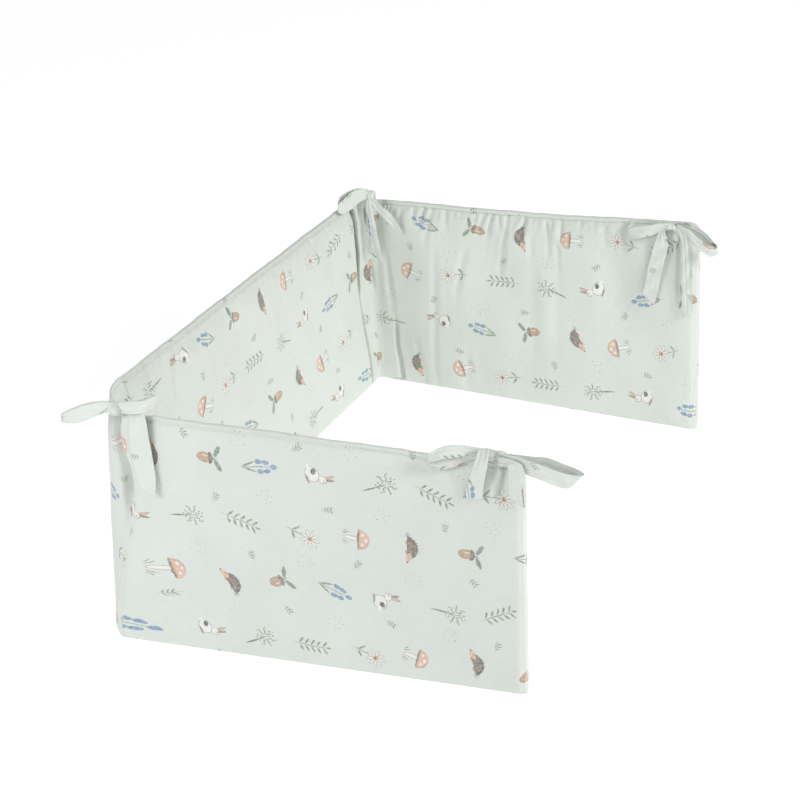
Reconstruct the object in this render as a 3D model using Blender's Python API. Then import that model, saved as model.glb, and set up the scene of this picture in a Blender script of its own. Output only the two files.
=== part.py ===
"""Crib bumper: one padded cotton band standing on its long edge in a U, with four bows tied on top.

The band is a filled cotton cover, soft at its two bends and open towards +X. Its top edge is drawn in
to a narrow stitched edge. A pair of cotton ties is sewn into that edge at each bend and near each
free end, and every pair is tied in a bow that lies on the edge.
"""
import math
from collections import namedtuple

import bpy
from mathutils import Matrix, Vector

# Plan of the band along its middle line: at the foot and at the top edge, with the radii that the
# outer and the inner cloth turn a bend with. trim is the length on each side of a corner that the bend
# takes up, and pinch the part of the padding's thickness that the tie leaves in the top of a bend. The
# front run lies along +X and the side run goes to the back
Corner = namedtuple("Corner", "foot top height trim foot_radii top_radii pinch")
CORNERS = [
    Corner((0.5405, -0.0015), (0.5402, 0.0050), 0.3030, 0.0, None, None, 1.0),
    Corner((0.0340, -0.0015), (-0.0030, 0.0070), 0.3075, 0.092, (0.010, 0.006), (0.086, 0.060), 0.30),
    Corner((0.1268, 0.7175), (0.1135, 0.7037), 0.2858, 0.052, (0.014, 0.004), (0.055, 0.029), 0.60),
    Corner((0.6006, 0.6677), (0.6004, 0.6721), 0.3050, 0.0, None, None, 1.0),
]
SIDE_BOW = 0.010
BEND_STEPS = 12
BEND_LEG_SHARE = 0.25
STATION_STEP = 0.019

# Section of the band
PAD_THICKNESS = 0.026
FOOT_ROUNDING = 0.004
SHOULDER_DEPTH = 0.045
EDGE_DEPTH = 0.0085
EDGE_THICKNESS = 0.0090
SEAM_THICKNESS = 0.0076
BELLY = 0.0006

# Rounding of the two free ends, in plan and at their top corners
END_ROUNDING = 0.011
END_FLAT_SHARE = 0.45
TOP_CORNER_ROUNDING = 0.014
END_STEPS = (0.0, 0.0015, 0.0045, 0.0110)

# The ties: folded cotton strips, narrower where they are bunched in the knot
TIE_THICKNESS = 0.0018
TIE_WIDTH = 0.024
TIE_STEPS = 2
KNOT_RINGS = 6
KNOT_SIDES = 10
KNOT_SQUARENESS = 0.75

COTTON_MINT = (0.78, 0.84, 0.79, 1.0)
COTTON_ROUGHNESS = 0.85

# Main folds of the cloth. along is the distance from the run's corner (the front one for the side), and
# low and high are the heights where the fold fades out. A negative depth is a trough
Fold = namedtuple("Fold", "face run along low high width depth")
FOLDS = [
    # the crease of the back bend, and the spare cloth beside it
    Fold("inner", "side", 0.705, 0.02, 0.300, 0.012, -0.0070),
    Fold("inner", "back", 0.022, -0.05, 0.235, 0.013, 0.0045),
    Fold("inner", "back", 0.046, -0.05, 0.160, 0.010, -0.0050),
    Fold("inner", "back", 0.078, 0.03, 0.260, 0.016, 0.0030),
    # long soft folds of the back run
    Fold("inner", "back", 0.125, 0.10, 0.290, 0.017, -0.0030),
    Fold("inner", "back", 0.172, 0.14, 0.290, 0.015, 0.0026),
    Fold("inner", "back", 0.228, 0.08, 0.290, 0.018, -0.0028),
    Fold("inner", "back", 0.290, 0.12, 0.290, 0.016, -0.0030),
    Fold("inner", "back", 0.345, 0.05, 0.290, 0.018, 0.0026),
    Fold("inner", "back", 0.392, 0.10, 0.290, 0.015, -0.0034),
    # long soft folds of the side run
    Fold("inner", "side", 0.140, 0.16, 0.290, 0.016, -0.0024),
    Fold("inner", "side", 0.262, 0.08, 0.290, 0.020, 0.0024),
    Fold("inner", "side", 0.395, 0.12, 0.290, 0.016, -0.0028),
    Fold("inner", "side", 0.505, 0.12, 0.290, 0.016, -0.0030),
    Fold("inner", "side", 0.610, 0.06, 0.290, 0.018, -0.0030),
    # the outer face of the front run: the pull under its bow, and one broad dip
    Fold("outer", "front", 0.046, 0.02, 0.300, 0.012, -0.0035),
    Fold("outer", "front", 0.235, 0.04, 0.290, 0.040, -0.0016),
]

# The bows. Rows are offsets from the knot's middle: along the run, towards the side that the tails
# hang on, and up. lean tips a loop's upper edge away from that side, in degrees, or turns a tail in the
# plane that it hangs in. spread is the part of the tie's width that lies open there. A loop's first row
# is its root inside the knot, where it also ends
TieRow = namedtuple("TieRow", "along near up lean spread")
Strand = namedtuple("Strand", "kind rows")
Bow = namedtuple("Bow", "run knot knot_size strands")
BOWS = {
    "tie_front_bend": Bow("front", (0.0400, 0.0100, 0.3112), (0.015, 0.014, 0.015), {
        "loop_out": Strand("loop", [
            TieRow(0.001, 0.000, 0.000, 0, 0.45), TieRow(-0.007, 0.000, -0.001, 0, 0.48),
            TieRow(-0.024, 0.003, -0.002, 0, 0.58), TieRow(-0.045, 0.0095, -0.006, 0, 0.66),
            TieRow(-0.0615, 0.0155, -0.0105, 0, 0.70), TieRow(-0.046, 0.0145, -0.008, 0, 0.66),
            TieRow(-0.024, 0.0085, -0.003, 0, 0.60), TieRow(-0.006, 0.004, -0.001, 0, 0.50),
        ]),
        "loop_in": Strand("loop", [
            TieRow(-0.001, 0.000, 0.000, 0, 0.42), TieRow(0.007, -0.002, 0.003, -10, 0.44),
            TieRow(0.019, -0.004, 0.005, -20, 0.48), TieRow(0.031, -0.009, 0.006, -20, 0.55),
            TieRow(0.039, -0.018, 0.007, -15, 0.55), TieRow(0.045, -0.023, 0.007, -10, 0.55),
            TieRow(0.040, -0.012, 0.006, -10, 0.52), TieRow(0.030, -0.002, 0.005, -10, 0.52),
            TieRow(0.018, 0.002, 0.004, -10, 0.46), TieRow(0.006, 0.002, 0.002, 0, 0.44),
        ]),
        "tail_a": Strand("tail", [
            TieRow(0.004, 0.003, -0.002, 0, 0.45), TieRow(0.018, 0.013, 0.000, 0, 0.70),
            TieRow(0.034, 0.025, 0.000, 0, 0.90), TieRow(0.040, 0.0305, -0.009, 0, 0.95),
            TieRow(0.042, 0.0325, -0.028, 0, 1.00), TieRow(0.046, 0.0325, -0.056, 0, 1.00),
            TieRow(0.0475, 0.0325, -0.074, 0, 0.95), TieRow(0.0455, 0.0325, -0.093, 0, 0.80),
        ]),
        "tail_b": Strand("tail", [
            TieRow(0.002, 0.003, -0.004, 0, 0.43), TieRow(0.010, 0.014, -0.003, 0, 0.75),
            TieRow(0.018, 0.025, -0.006, 0, 0.95), TieRow(0.0205, 0.0285, -0.022, 0, 1.00),
            TieRow(0.026, 0.0285, -0.045, 0, 1.00), TieRow(0.033, 0.0285, -0.066, 0, 1.00),
            TieRow(0.036, 0.0285, -0.084, 0, 0.90),
        ]),
    }),
    "tie_front_end": Bow("front", (0.5030, 0.0060, 0.3120), (0.018, 0.014, 0.014), {
        "loop_left": Strand("loop", [
            TieRow(0.001, 0.000, 0.000, 0, 0.45), TieRow(-0.007, -0.002, 0.000, 10, 0.50),
            TieRow(-0.022, 0.001, 0.001, 35, 0.80), TieRow(-0.044, 0.005, 0.001, 45, 0.85),
            TieRow(-0.064, 0.013, -0.001, 40, 0.80), TieRow(-0.068, 0.020, 0.001, 30, 0.75),
            TieRow(-0.058, 0.026, 0.005, 20, 0.75), TieRow(-0.040, 0.024, 0.008, 15, 0.75),
            TieRow(-0.020, 0.014, 0.004, 10, 0.60), TieRow(-0.006, 0.004, 0.000, 10, 0.50),
        ]),
        "loop_right": Strand("loop", [
            TieRow(-0.001, 0.000, 0.000, 0, 0.45), TieRow(0.007, 0.004, -0.001, 0, 0.50),
            TieRow(0.022, 0.011, -0.004, 0, 0.62), TieRow(0.042, 0.015, -0.009, 0, 0.72),
            TieRow(0.064, 0.014, -0.014, 0, 0.80), TieRow(0.088, 0.011, -0.018, 0, 0.80),
            TieRow(0.102, 0.005, -0.019, 0, 0.80), TieRow(0.092, -0.001, -0.017, 0, 0.80),
            TieRow(0.064, -0.003, -0.010, 0, 0.70), TieRow(0.030, -0.003, -0.002, 0, 0.55),
            TieRow(0.008, -0.003, 0.000, 0, 0.47),
        ]),
        "tail_a": Strand("tail", [
            TieRow(-0.004, 0.002, 0.001, 0, 0.45), TieRow(-0.010, 0.014, 0.003, 0, 0.60),
            TieRow(-0.015, 0.024, -0.005, 0, 0.75), TieRow(-0.021, 0.027, -0.020, 0, 0.90),
            TieRow(-0.029, 0.027, -0.036, 0, 1.00),
        ]),
        "tail_b": Strand("tail", [
            TieRow(0.004, 0.002, 0.001, 0, 0.45), TieRow(0.013, 0.013, 0.002, 0, 0.60),
            TieRow(0.020, 0.024, -0.005, 0, 0.75), TieRow(0.023, 0.027, -0.020, 0, 0.85),
            TieRow(0.024, 0.027, -0.037, -15, 0.85),
        ]),
    }),
    "tie_back_bend": Bow("back", (0.1390, 0.6865, 0.2945), (0.014, 0.014, 0.015), {
        "loop_left": Strand("loop", [
            TieRow(0.001, 0.001, 0.001, 0, 0.45), TieRow(-0.003, 0.008, 0.001, 0, 0.50),
            TieRow(-0.009, 0.022, 0.003, 0, 0.70), TieRow(-0.014, 0.040, 0.004, 0, 0.76),
            TieRow(-0.022, 0.055, 0.005, 0, 0.76), TieRow(-0.028, 0.046, 0.006, 0, 0.76),
            TieRow(-0.023, 0.024, 0.006, 0, 0.70), TieRow(-0.009, 0.005, 0.002, 0, 0.50),
        ]),
        "tail_a": Strand("tail", [
            TieRow(-0.002, 0.002, -0.001, 0, 0.40), TieRow(-0.003, 0.009, -0.010, 0, 0.35),
            TieRow(-0.001, 0.010, -0.033, 0, 0.40), TieRow(0.002, 0.008, -0.056, 0, 0.50),
            TieRow(0.006, 0.006, -0.078, -30, 0.65),
        ]),
        "tail_b": Strand("tail", [
            TieRow(0.003, 0.002, -0.001, 0, 0.40), TieRow(0.009, 0.007, -0.008, 0, 0.50),
            TieRow(0.020, 0.005, -0.022, 0, 0.70), TieRow(0.030, 0.001, -0.037, 0, 0.80),
            TieRow(0.038, -0.002, -0.050, 0, 0.80),
        ]),
    }),
    "tie_back_end": Bow("back", (0.5610, 0.6602, 0.3040), (0.018, 0.013, 0.014), {
        "loop_left": Strand("loop", [
            TieRow(0.001, 0.000, 0.001, 4, 0.47), TieRow(-0.007, 0.005, 0.000, 4, 0.52),
            TieRow(-0.022, 0.008, -0.003, 0, 0.75), TieRow(-0.042, 0.009, -0.008, 0, 0.80),
            TieRow(-0.058, 0.007, -0.012, 0, 0.75), TieRow(-0.063, 0.001, -0.011, 0, 0.75),
            TieRow(-0.055, -0.004, -0.006, 10, 0.70), TieRow(-0.030, -0.004, -0.001, 15, 0.60),
            TieRow(-0.008, -0.003, 0.001, 10, 0.50),
        ]),
        "loop_right": Strand("loop", [
            TieRow(-0.001, 0.000, 0.000, 0, 0.45), TieRow(0.007, 0.004, -0.001, 0, 0.50),
            TieRow(0.020, 0.009, -0.005, 0, 0.70), TieRow(0.038, 0.009, -0.014, 0, 0.80),
            TieRow(0.054, 0.005, -0.023, 0, 0.80), TieRow(0.063, 0.000, -0.026, 0, 0.80),
            TieRow(0.054, -0.004, -0.018, 0, 0.80), TieRow(0.034, -0.004, -0.007, 8, 0.65),
            TieRow(0.008, -0.003, 0.000, 8, 0.48),
        ]),
        "tail_a": Strand("tail", [
            TieRow(-0.005, 0.002, -0.001, 0, 0.45), TieRow(-0.012, 0.006, -0.010, 0, 0.70),
            TieRow(-0.014, 0.007, -0.037, 0, 0.85), TieRow(-0.023, 0.006, -0.073, 0, 0.85),
            TieRow(-0.033, 0.006, -0.106, 0, 0.75),
        ]),
        "tail_b": Strand("tail", [
            TieRow(0.006, 0.002, -0.001, 0, 0.45), TieRow(0.013, 0.006, -0.010, 0, 0.55),
            TieRow(0.021, 0.006, -0.040, 0, 0.65), TieRow(0.024, 0.006, -0.080, 0, 0.75),
            TieRow(0.025, 0.006, -0.120, 0, 0.75),
        ]),
    }),
}


# ---------------------------------------------------------------- the band's plan

Station = namedtuple("Station", "foot top run run_along")
Place = namedtuple("Place", "middle outward")


def outward_of(direction):
    return Vector((-direction.y, direction.x))


def headings(index, level):
    """Directions of travel before and after a corner, at the foot or at the top."""
    before, here, after = (Vector(getattr(CORNERS[i], level)) for i in (index - 1, index, index + 1))
    return (here - before).normalized(), (after - here).normalized()


def run_stations(run, first, last):
    """Stations of a straight run between two corners, closer together at a free end."""
    lengths = [(Vector(last.foot) - Vector(first.foot)).length, (Vector(last.top) - Vector(first.top)).length]
    count = round((lengths[0] - first.trim - last.trim) / STATION_STEP)
    whole = lengths[0] - first.trim - last.trim
    shares = [i / count for i in range(count + 1)]
    ends = [step / whole for step in END_STEPS]
    near = (END_STEPS[-1] + STATION_STEP / 2) / whole
    if not first.trim:
        shares = ends + [s for s in shares if s > near]
    if not last.trim:
        shares = [s for s in shares if s < 1 - near] + [1 - s for s in ends[::-1]]
    stations = []
    for share in shares:
        places = []
        for level, length in zip(("foot", "top"), lengths):
            start, end = Vector(getattr(first, level)), Vector(getattr(last, level))
            direction = (end - start) / length
            distance = first.trim + (length - first.trim - last.trim) * share
            places.append(Place(start + direction * distance, outward_of(direction)))
        distance = first.trim + whole * share
        stations.append(Station(*places, run, lengths[0] - distance if run == "front" else distance))
    return stations


def turn_point(index, level, offset, radius, share):
    """Point on the outer or inner line round a corner: a leg, an arc and a leg."""
    corner = Vector(getattr(CORNERS[index], level))
    before, after = headings(index, level)
    sweep = before.angle(after)
    reach = math.tan(sweep / 2)
    sharp = corner + before * offset * reach + outward_of(before) * offset
    leg = CORNERS[index].trim + offset * reach - radius * reach
    if share < BEND_LEG_SHARE:
        return sharp - before * (radius * reach + leg * (1 - share / BEND_LEG_SHARE))
    if share > 1 - BEND_LEG_SHARE:
        return sharp + after * (radius * reach + leg * (1 - (1 - share) / BEND_LEG_SHARE))
    centre = sharp - before * radius * reach - outward_of(before) * radius
    turned = sweep * (share - BEND_LEG_SHARE) / (1 - 2 * BEND_LEG_SHARE)
    return centre + (Matrix.Rotation(-turned, 2) @ outward_of(before)) * radius


def bend_stations(index):
    """Stations round a bend, without its two ends, which belong to the runs."""
    corner = CORNERS[index]
    half = PAD_THICKNESS / 2
    stations = []
    for i in range(1, BEND_STEPS):
        share = i / BEND_STEPS
        places = []
        for level, radii in (("foot", corner.foot_radii), ("top", corner.top_radii)):
            outer = turn_point(index, level, half, radii[0], share)
            inner = turn_point(index, level, -half, radii[1], share)
            left = 1 - (1 - corner.pinch) * math.sin(math.pi * share) ** 2 if level == "top" else 1
            places.append(Place((outer + inner) / 2, (outer - inner) / PAD_THICKNESS * left))
        run = ("front", "side", "back")[index - (share < 0.5)]
        distance = corner.trim * abs(1 - 2 * share)
        if run == "side" and index == 2:
            distance = (Vector(corner.foot) - Vector(CORNERS[1].foot)).length - distance
        stations.append(Station(*places, run, distance))
    return stations


def band_stations():
    """All stations from the front run's free end to the back run's, and the corners' places in the list."""
    stations = []
    marks = [0]
    for i, run in enumerate(("front", "side", "back")):
        stations += run_stations(run, CORNERS[i], CORNERS[i + 1])
        if i < 2:
            marks.append(len(stations) - 1 + BEND_STEPS // 2)
            stations += bend_stations(i + 1)
    marks.append(len(stations) - 1)
    return stations, marks


# ---------------------------------------------------------------- the band's section

def section_rows():
    """One face of the section from the foot to the top: (share of height, offset, half thickness)."""
    half = PAD_THICKNESS / 2
    foot = FOOT_ROUNDING
    rows = [
        (0.0, 0.0, half - foot),
        (0.0, foot * 0.3, half - foot * 0.29),
        (0.0, foot, half),
    ]
    for share in (0.18, 0.42, 0.66):
        rows.append((share, 0.0, half + BELLY * math.sin(math.pi * share)))
    shoulder_run = SHOULDER_DEPTH - EDGE_DEPTH
    for part in (0.0, 0.38, 0.68, 0.90):
        drop = SHOULDER_DEPTH - shoulder_run * part
        narrow = 1.0 - math.sqrt(1.0 - part * part)
        rows.append((1.0, -drop, half - (half - EDGE_THICKNESS / 2) * narrow))
    rows += [
        (1.0, -EDGE_DEPTH, SEAM_THICKNESS / 2),
        (1.0, -EDGE_DEPTH * 0.72, EDGE_THICKNESS / 2),
        (1.0, -EDGE_DEPTH * 0.22, EDGE_THICKNESS / 2 * 0.9),
        (1.0, 0.0, EDGE_THICKNESS / 2 * 0.5),
    ]
    return rows


def bump(distance, width):
    return math.exp(-(distance / width) ** 2)


def soft_window(z, low, high):
    """1 between two heights, fading to 0 over the first and the last third."""
    if not low < z < high:
        return 0.0
    share = (z - low) / (high - low)
    return min(1.0, math.sin(math.pi * share) * 1.3)


def fold_depth(station, face, z):
    total = 0.0
    for fold in FOLDS:
        if fold.face == face and fold.run == station.run:
            window = soft_window(z, fold.low, fold.high)
            total += fold.depth * window * bump(station.run_along - fold.along, fold.width)
    return total


def end_share(gap):
    """Part of the full thickness that is left this close to a free end."""
    if gap >= END_ROUNDING:
        return 1.0
    rise = 1.0 - gap / END_ROUNDING
    return END_FLAT_SHARE + (1.0 - END_FLAT_SHARE) * math.sqrt(1.0 - rise * rise)


def end_drop(gap):
    """How much lower the top edge is this close to a free end."""
    if gap >= TOP_CORNER_ROUNDING:
        return 0.0
    rise = 1.0 - gap / TOP_CORNER_ROUNDING
    return TOP_CORNER_ROUNDING * (1.0 - math.sqrt(1.0 - 0.8 * rise * rise))


def band_ring(station, height, end_gap, bow_out):
    """Points round the section: up the outer face, over the top, and down the inner face."""
    height -= end_drop(end_gap)
    narrow = end_share(end_gap)
    ring = []
    for face, side in (("outer", 1), ("inner", -1)):
        points = []
        for share, offset, half in section_rows():
            z = share * height + offset
            rise = z / height
            middle = station.foot.middle.lerp(station.top.middle, rise)
            outward = station.foot.outward.lerp(station.top.outward, rise)
            out = side * (half * narrow + fold_depth(station, face, z)) + bow_out * (1 - rise)
            place = middle + outward * out
            points.append(Vector((place.x, place.y, z)))
        ring += points if side == 1 else points[::-1]
    return ring


def band_mesh():
    stations, marks = band_stations()
    along = [0.0]
    for first, second in zip(stations, stations[1:]):
        along.append(along[-1] + (second.foot.middle - first.foot.middle).length)
    rings = []
    for i, station in enumerate(stations):
        part = next(k for k in range(3) if i <= marks[k + 1])
        share = (along[i] - along[marks[part]]) / (along[marks[part + 1]] - along[marks[part]])
        height = CORNERS[part].height * (1 - share) + CORNERS[part + 1].height * share
        bow_out = SIDE_BOW * math.sin(math.pi * share) if part == 1 else 0.0
        rings.append(band_ring(station, height, min(along[i], along[-1] - along[i]), bow_out))
    size = len(rings[0])
    points = [point for ring in rings for point in ring]
    faces = [tuple(range(size)), tuple(range(len(points) - 1, len(points) - size - 1, -1))]
    for i in range(len(rings) - 1):
        for j in range(size):
            k = (j + 1) % size
            faces.append((i * size + j, (i + 1) * size + j, (i + 1) * size + k, i * size + k))
    return points, faces


# ---------------------------------------------------------------- the ties

def smooth_rows(rows, closed):
    """Rows read from a smooth curve through the given rows."""
    count = len(rows)

    def row_at(i):
        return rows[i % count] if closed else rows[min(max(i, 0), count - 1)]

    result = []
    for i in range(count if closed else count - 1):
        for step in range(TIE_STEPS):
            t = step / TIE_STEPS
            weights = (
                (-t + 2 * t**2 - t**3) / 2,
                (2 - 5 * t**2 + 3 * t**3) / 2,
                (t + 4 * t**2 - 3 * t**3) / 2,
                (-t**2 + t**3) / 2,
            )
            near_rows = [row_at(i + k) for k in (-1, 0, 1, 2)]
            result.append(TieRow(*(sum(w * row[c] for w, row in zip(weights, near_rows)) for c in range(5))))
    if not closed:
        result.append(rows[-1])
    return result


def bow_axes(bow):
    """Directions along the bow's run and towards the side that its tails hang on."""
    index = {"front": 1, "back": 2}[bow.run]
    before, after = headings(index, "foot")
    along = -before if bow.run == "front" else after
    near = outward_of(before) if bow.run == "front" else -outward_of(after)
    return along.to_3d(), near.to_3d()


def bow_place(bow, along, near, up):
    """World place of an offset from the bow's knot."""
    along_axis, near_axis = bow_axes(bow)
    return Vector(bow.knot) + along_axis * along + near_axis * near + Vector((0.0, 0.0, up))


def strip_mesh(bow, strand):
    """A strip of cloth along the strand's route, with a rectangular section. A loop runs back into itself."""
    closed = strand.kind == "loop"
    rows = smooth_rows(strand.rows, closed)
    count = len(rows)
    along_axis, near_axis = bow_axes(bow)
    up_axis = Vector((0.0, 0.0, 1.0))
    centres = [bow_place(bow, row.along, row.near, row.up) for row in rows]
    points = []
    for i, row in enumerate(rows):
        following = centres[(i + 1) % count] if closed else centres[min(i + 1, count - 1)]
        previous = centres[i - 1] if closed or i else centres[0]
        lean = math.radians(row.lean)
        if closed:
            across = up_axis * math.cos(lean) - near_axis * math.sin(lean)
        else:
            across = along_axis * math.cos(lean) + up_axis * math.sin(lean)
        normal = (following - previous).cross(across).normalized()
        half_width = TIE_WIDTH * row.spread / 2
        for wide, thick in ((-1, -1), (1, -1), (1, 1), (-1, 1)):
            points.append(centres[i] + across * half_width * wide + normal * TIE_THICKNESS / 2 * thick)
    faces = []
    for i in range(count if closed else count - 1):
        a, b = i * 4, (i + 1) % count * 4
        for j in range(4):
            k = (j + 1) % 4
            faces.append((a + j, a + k, b + k, b + j))
    if not closed:
        faces += [(3, 2, 1, 0), tuple(len(points) - 4 + j for j in range(4))]
    return points, faces


def knot_mesh(bow):
    """A squarish ball: the wrapped middle of the bow."""
    size = Vector(bow.knot_size) / 2

    def swell(value):
        return math.copysign(abs(value) ** KNOT_SQUARENESS, value)

    points = []
    for ring in range(1, KNOT_RINGS):
        polar = math.pi * ring / KNOT_RINGS
        for side in range(KNOT_SIDES):
            turn = 2 * math.pi * side / KNOT_SIDES
            points.append(bow_place(
                bow,
                size.x * swell(math.sin(polar) * math.cos(turn)),
                size.y * swell(math.sin(polar) * math.sin(turn)),
                size.z * swell(math.cos(polar)),
            ))
    top, bottom = len(points), len(points) + 1
    points += [bow_place(bow, 0.0, 0.0, size.z), bow_place(bow, 0.0, 0.0, -size.z)]
    faces = []
    for side in range(KNOT_SIDES):
        following = (side + 1) % KNOT_SIDES
        last = (KNOT_RINGS - 2) * KNOT_SIDES
        faces.append((top, side, following))
        faces.append((bottom, last + following, last + side))
        for ring in range(KNOT_RINGS - 2):
            a, b = ring * KNOT_SIDES, (ring + 1) * KNOT_SIDES
            faces.append((a + side, b + side, b + following, a + following))
    return points, faces


# ---------------------------------------------------------------- making the objects

def cotton(name, colour):
    material = bpy.data.materials.new(name)
    material.use_nodes = True
    shader = material.node_tree.nodes["Principled BSDF"]
    shader.inputs["Base Color"].default_value = colour
    shader.inputs["Roughness"].default_value = COTTON_ROUGHNESS
    shader.inputs["Metallic"].default_value = 0.0
    return material


def add_object(name, mesh_data, material, parent):
    points, faces = mesh_data
    mesh = bpy.data.meshes.new(name)
    mesh.from_pydata(points, [], faces)
    mesh.update()
    if signed_volume(mesh) < 0:
        mesh.flip_normals()
    mesh.materials.append(material)
    mesh.shade_smooth()
    mesh.set_sharp_from_angle(angle=math.radians(50.0))
    piece = bpy.data.objects.new(name, mesh)
    bpy.context.scene.collection.objects.link(piece)
    piece.parent = parent
    return piece


def signed_volume(mesh):
    total = 0.0
    for face in mesh.polygons:
        corners = [mesh.vertices[i].co for i in face.vertices]
        for second, third in zip(corners[1:], corners[2:]):
            total += corners[0].dot(second.cross(third)) / 6
    return total


def add_bow(name, bow, material, parent):
    """The knot is the bow's object, and its loops and tails are joined to it."""
    knot = add_object(name, knot_mesh(bow), material, parent)
    for strand_name, strand in bow.strands.items():
        strip = add_object(f"{name}_{strand_name}", strip_mesh(bow, strand), material, parent)
        strip.hide_render = True
        strip.display_type = "WIRE"
        join = knot.modifiers.new(strand_name, "BOOLEAN")
        join.operation = "UNION"
        join.solver = "EXACT"
        join.object = strip
    return knot


def main():
    for old in list(bpy.data.objects):
        bpy.data.objects.remove(old, do_unlink=True)
    origin = bpy.data.objects.new("bumper", None)
    bpy.context.scene.collection.objects.link(origin)
    band = add_object("padded_band", band_mesh(), cotton("printed_cotton", COTTON_MINT), origin)
    tie_cotton = cotton("tie_cotton", COTTON_MINT)
    pieces = [band]
    pieces += [add_bow(name, bow, tie_cotton, origin) for name, bow in BOWS.items()]
    # the origin is the middle of the whole piece's box, at the floor
    places = [v.co for piece in bpy.data.objects if piece.type == "MESH" for v in piece.data.vertices]
    middle_x = (min(p.x for p in places) + max(p.x for p in places)) / 2
    middle_y = (min(p.y for p in places) + max(p.y for p in places)) / 2
    origin.location = (-middle_x, -middle_y, 0.0)


main()
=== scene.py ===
"""Crib bumper: the finished cloth of the padded band and of its four tied bows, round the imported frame.

The band's inner face is gathered under the row of stitching along its top, and creased in its bends. The
bows are soft cotton strips, bunched where their knots hold them.
"""

import math
import random
from collections import namedtuple

import bpy
import numpy as np
from mathutils import Matrix, Vector


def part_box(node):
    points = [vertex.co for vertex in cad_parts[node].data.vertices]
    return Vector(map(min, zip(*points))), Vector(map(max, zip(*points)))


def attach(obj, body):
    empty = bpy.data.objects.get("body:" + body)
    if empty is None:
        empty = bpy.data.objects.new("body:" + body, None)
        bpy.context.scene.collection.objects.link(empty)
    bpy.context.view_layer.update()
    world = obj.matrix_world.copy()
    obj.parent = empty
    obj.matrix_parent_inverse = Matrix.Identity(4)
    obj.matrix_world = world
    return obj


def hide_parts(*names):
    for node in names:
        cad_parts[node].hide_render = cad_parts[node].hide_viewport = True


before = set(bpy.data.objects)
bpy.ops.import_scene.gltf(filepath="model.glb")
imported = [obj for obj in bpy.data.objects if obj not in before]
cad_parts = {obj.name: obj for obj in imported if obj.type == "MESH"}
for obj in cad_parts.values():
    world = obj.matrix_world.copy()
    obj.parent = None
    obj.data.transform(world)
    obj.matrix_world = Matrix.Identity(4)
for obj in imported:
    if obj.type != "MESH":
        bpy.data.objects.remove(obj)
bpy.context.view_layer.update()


# ---------------------------------------------------------------- the shape of the padded band
# One long cotton cover filled with wadding, 26 mm thick, closed along its top by a row of stitching that
# draws it in to a narrow edge. It stands on its long bottom edge, bent twice, and is open towards +X.
# Its plan is drawn from the front bend, and is a little different at the foot and at the top.

# trim is the length on each side of a corner that its bend takes up. The radii are those of the outer and of
# the inner cloth, and pinch is the part of the padding's thickness that the tie leaves at the top
Corner = namedtuple("Corner", "foot top height trim foot_radii top_radii pinch")
CORNERS = [
    Corner((0.5405, -0.0015), (0.5402, 0.0050), 0.3030, 0.0, None, None, 1.0),
    Corner((0.0340, -0.0015), (-0.0030, 0.0070), 0.3075, 0.092, (0.010, 0.006), (0.086, 0.060), 0.30),
    Corner((0.1268, 0.7175), (0.1135, 0.7037), 0.2858, 0.052, (0.014, 0.004), (0.055, 0.029), 0.60),
    Corner((0.6006, 0.6677), (0.6004, 0.6721), 0.3050, 0.0, None, None, 1.0),
]
BAND_LOW_CORNER = Vector((0.0029, -0.0144))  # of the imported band, in the plan
SIDE_BOW = 0.010
BEND_LEG_SHARE = 0.25
BEND_STEPS = 24
CLOTH_STEP = 0.0026
END_STEPS = (0.0, 0.0007, 0.0018, 0.0030, 0.0042, 0.0055, 0.0080, 0.0110)

PAD_THICKNESS = 0.026
FOOT_ROUNDING, FOOT_INSET, FOOT_TUCK = 0.022, 0.0055, 0.0035
SHOULDER_DEPTH = {"outer": 0.045, "inner": 0.040}
# how far below the top edge the stitching runs: on the front and side runs, and on the back run
STITCH_DEPTHS = {"outer": (0.0036, 0.0036), "inner": (0.0022, 0.0056)}
EDGE_THICKNESS = 0.0062
STITCHED_THICKNESS, STITCHED_GAP = 0.0050, 0.0006
END_ROUNDING = 0.011
END_THICKNESS_SHARE = 0.24
END_STITCH_GAP, END_STITCH_WIDTH, END_STITCH_DIP = 0.0030, 0.0011, 0.10
TOP_CORNER_ROUNDING = 0.014

plan_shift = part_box("padded_band")[0].to_2d() - BAND_LOW_CORNER
Station = namedtuple("Station", "foot foot_out top top_out length")


def outward_of(direction):
    """What lies to the left of a direction along the band, which is out of the U."""
    return Vector((-direction.y, direction.x))


def straight_stations(first, last, start_length):
    """Stations of the straight cloth between two corners, closer together at a free end."""
    spans = [Vector(getattr(last, level)) - Vector(getattr(first, level)) for level in ("foot", "top")]
    whole = spans[0].length - first.trim - last.trim
    count = round(whole / CLOTH_STEP)
    shares = [i / count for i in range(count + 1)]
    ends = [step / whole for step in END_STEPS]
    near = ends[-1] + 0.5 / count
    if not first.trim:
        shares = ends + [share for share in shares if share > near]
    if not last.trim:
        shares = [share for share in shares if share < 1 - near] + [1 - share for share in ends[::-1]]
    stations = []
    for share in shares:
        places = []
        for level, span in zip(("foot", "top"), spans):
            distance = first.trim + (span.length - first.trim - last.trim) * share
            direction = span.normalized()
            places += [Vector(getattr(first, level)) + direction * distance, outward_of(direction)]
        stations.append(Station(*places, start_length + first.trim + whole * share))
    return stations


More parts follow.
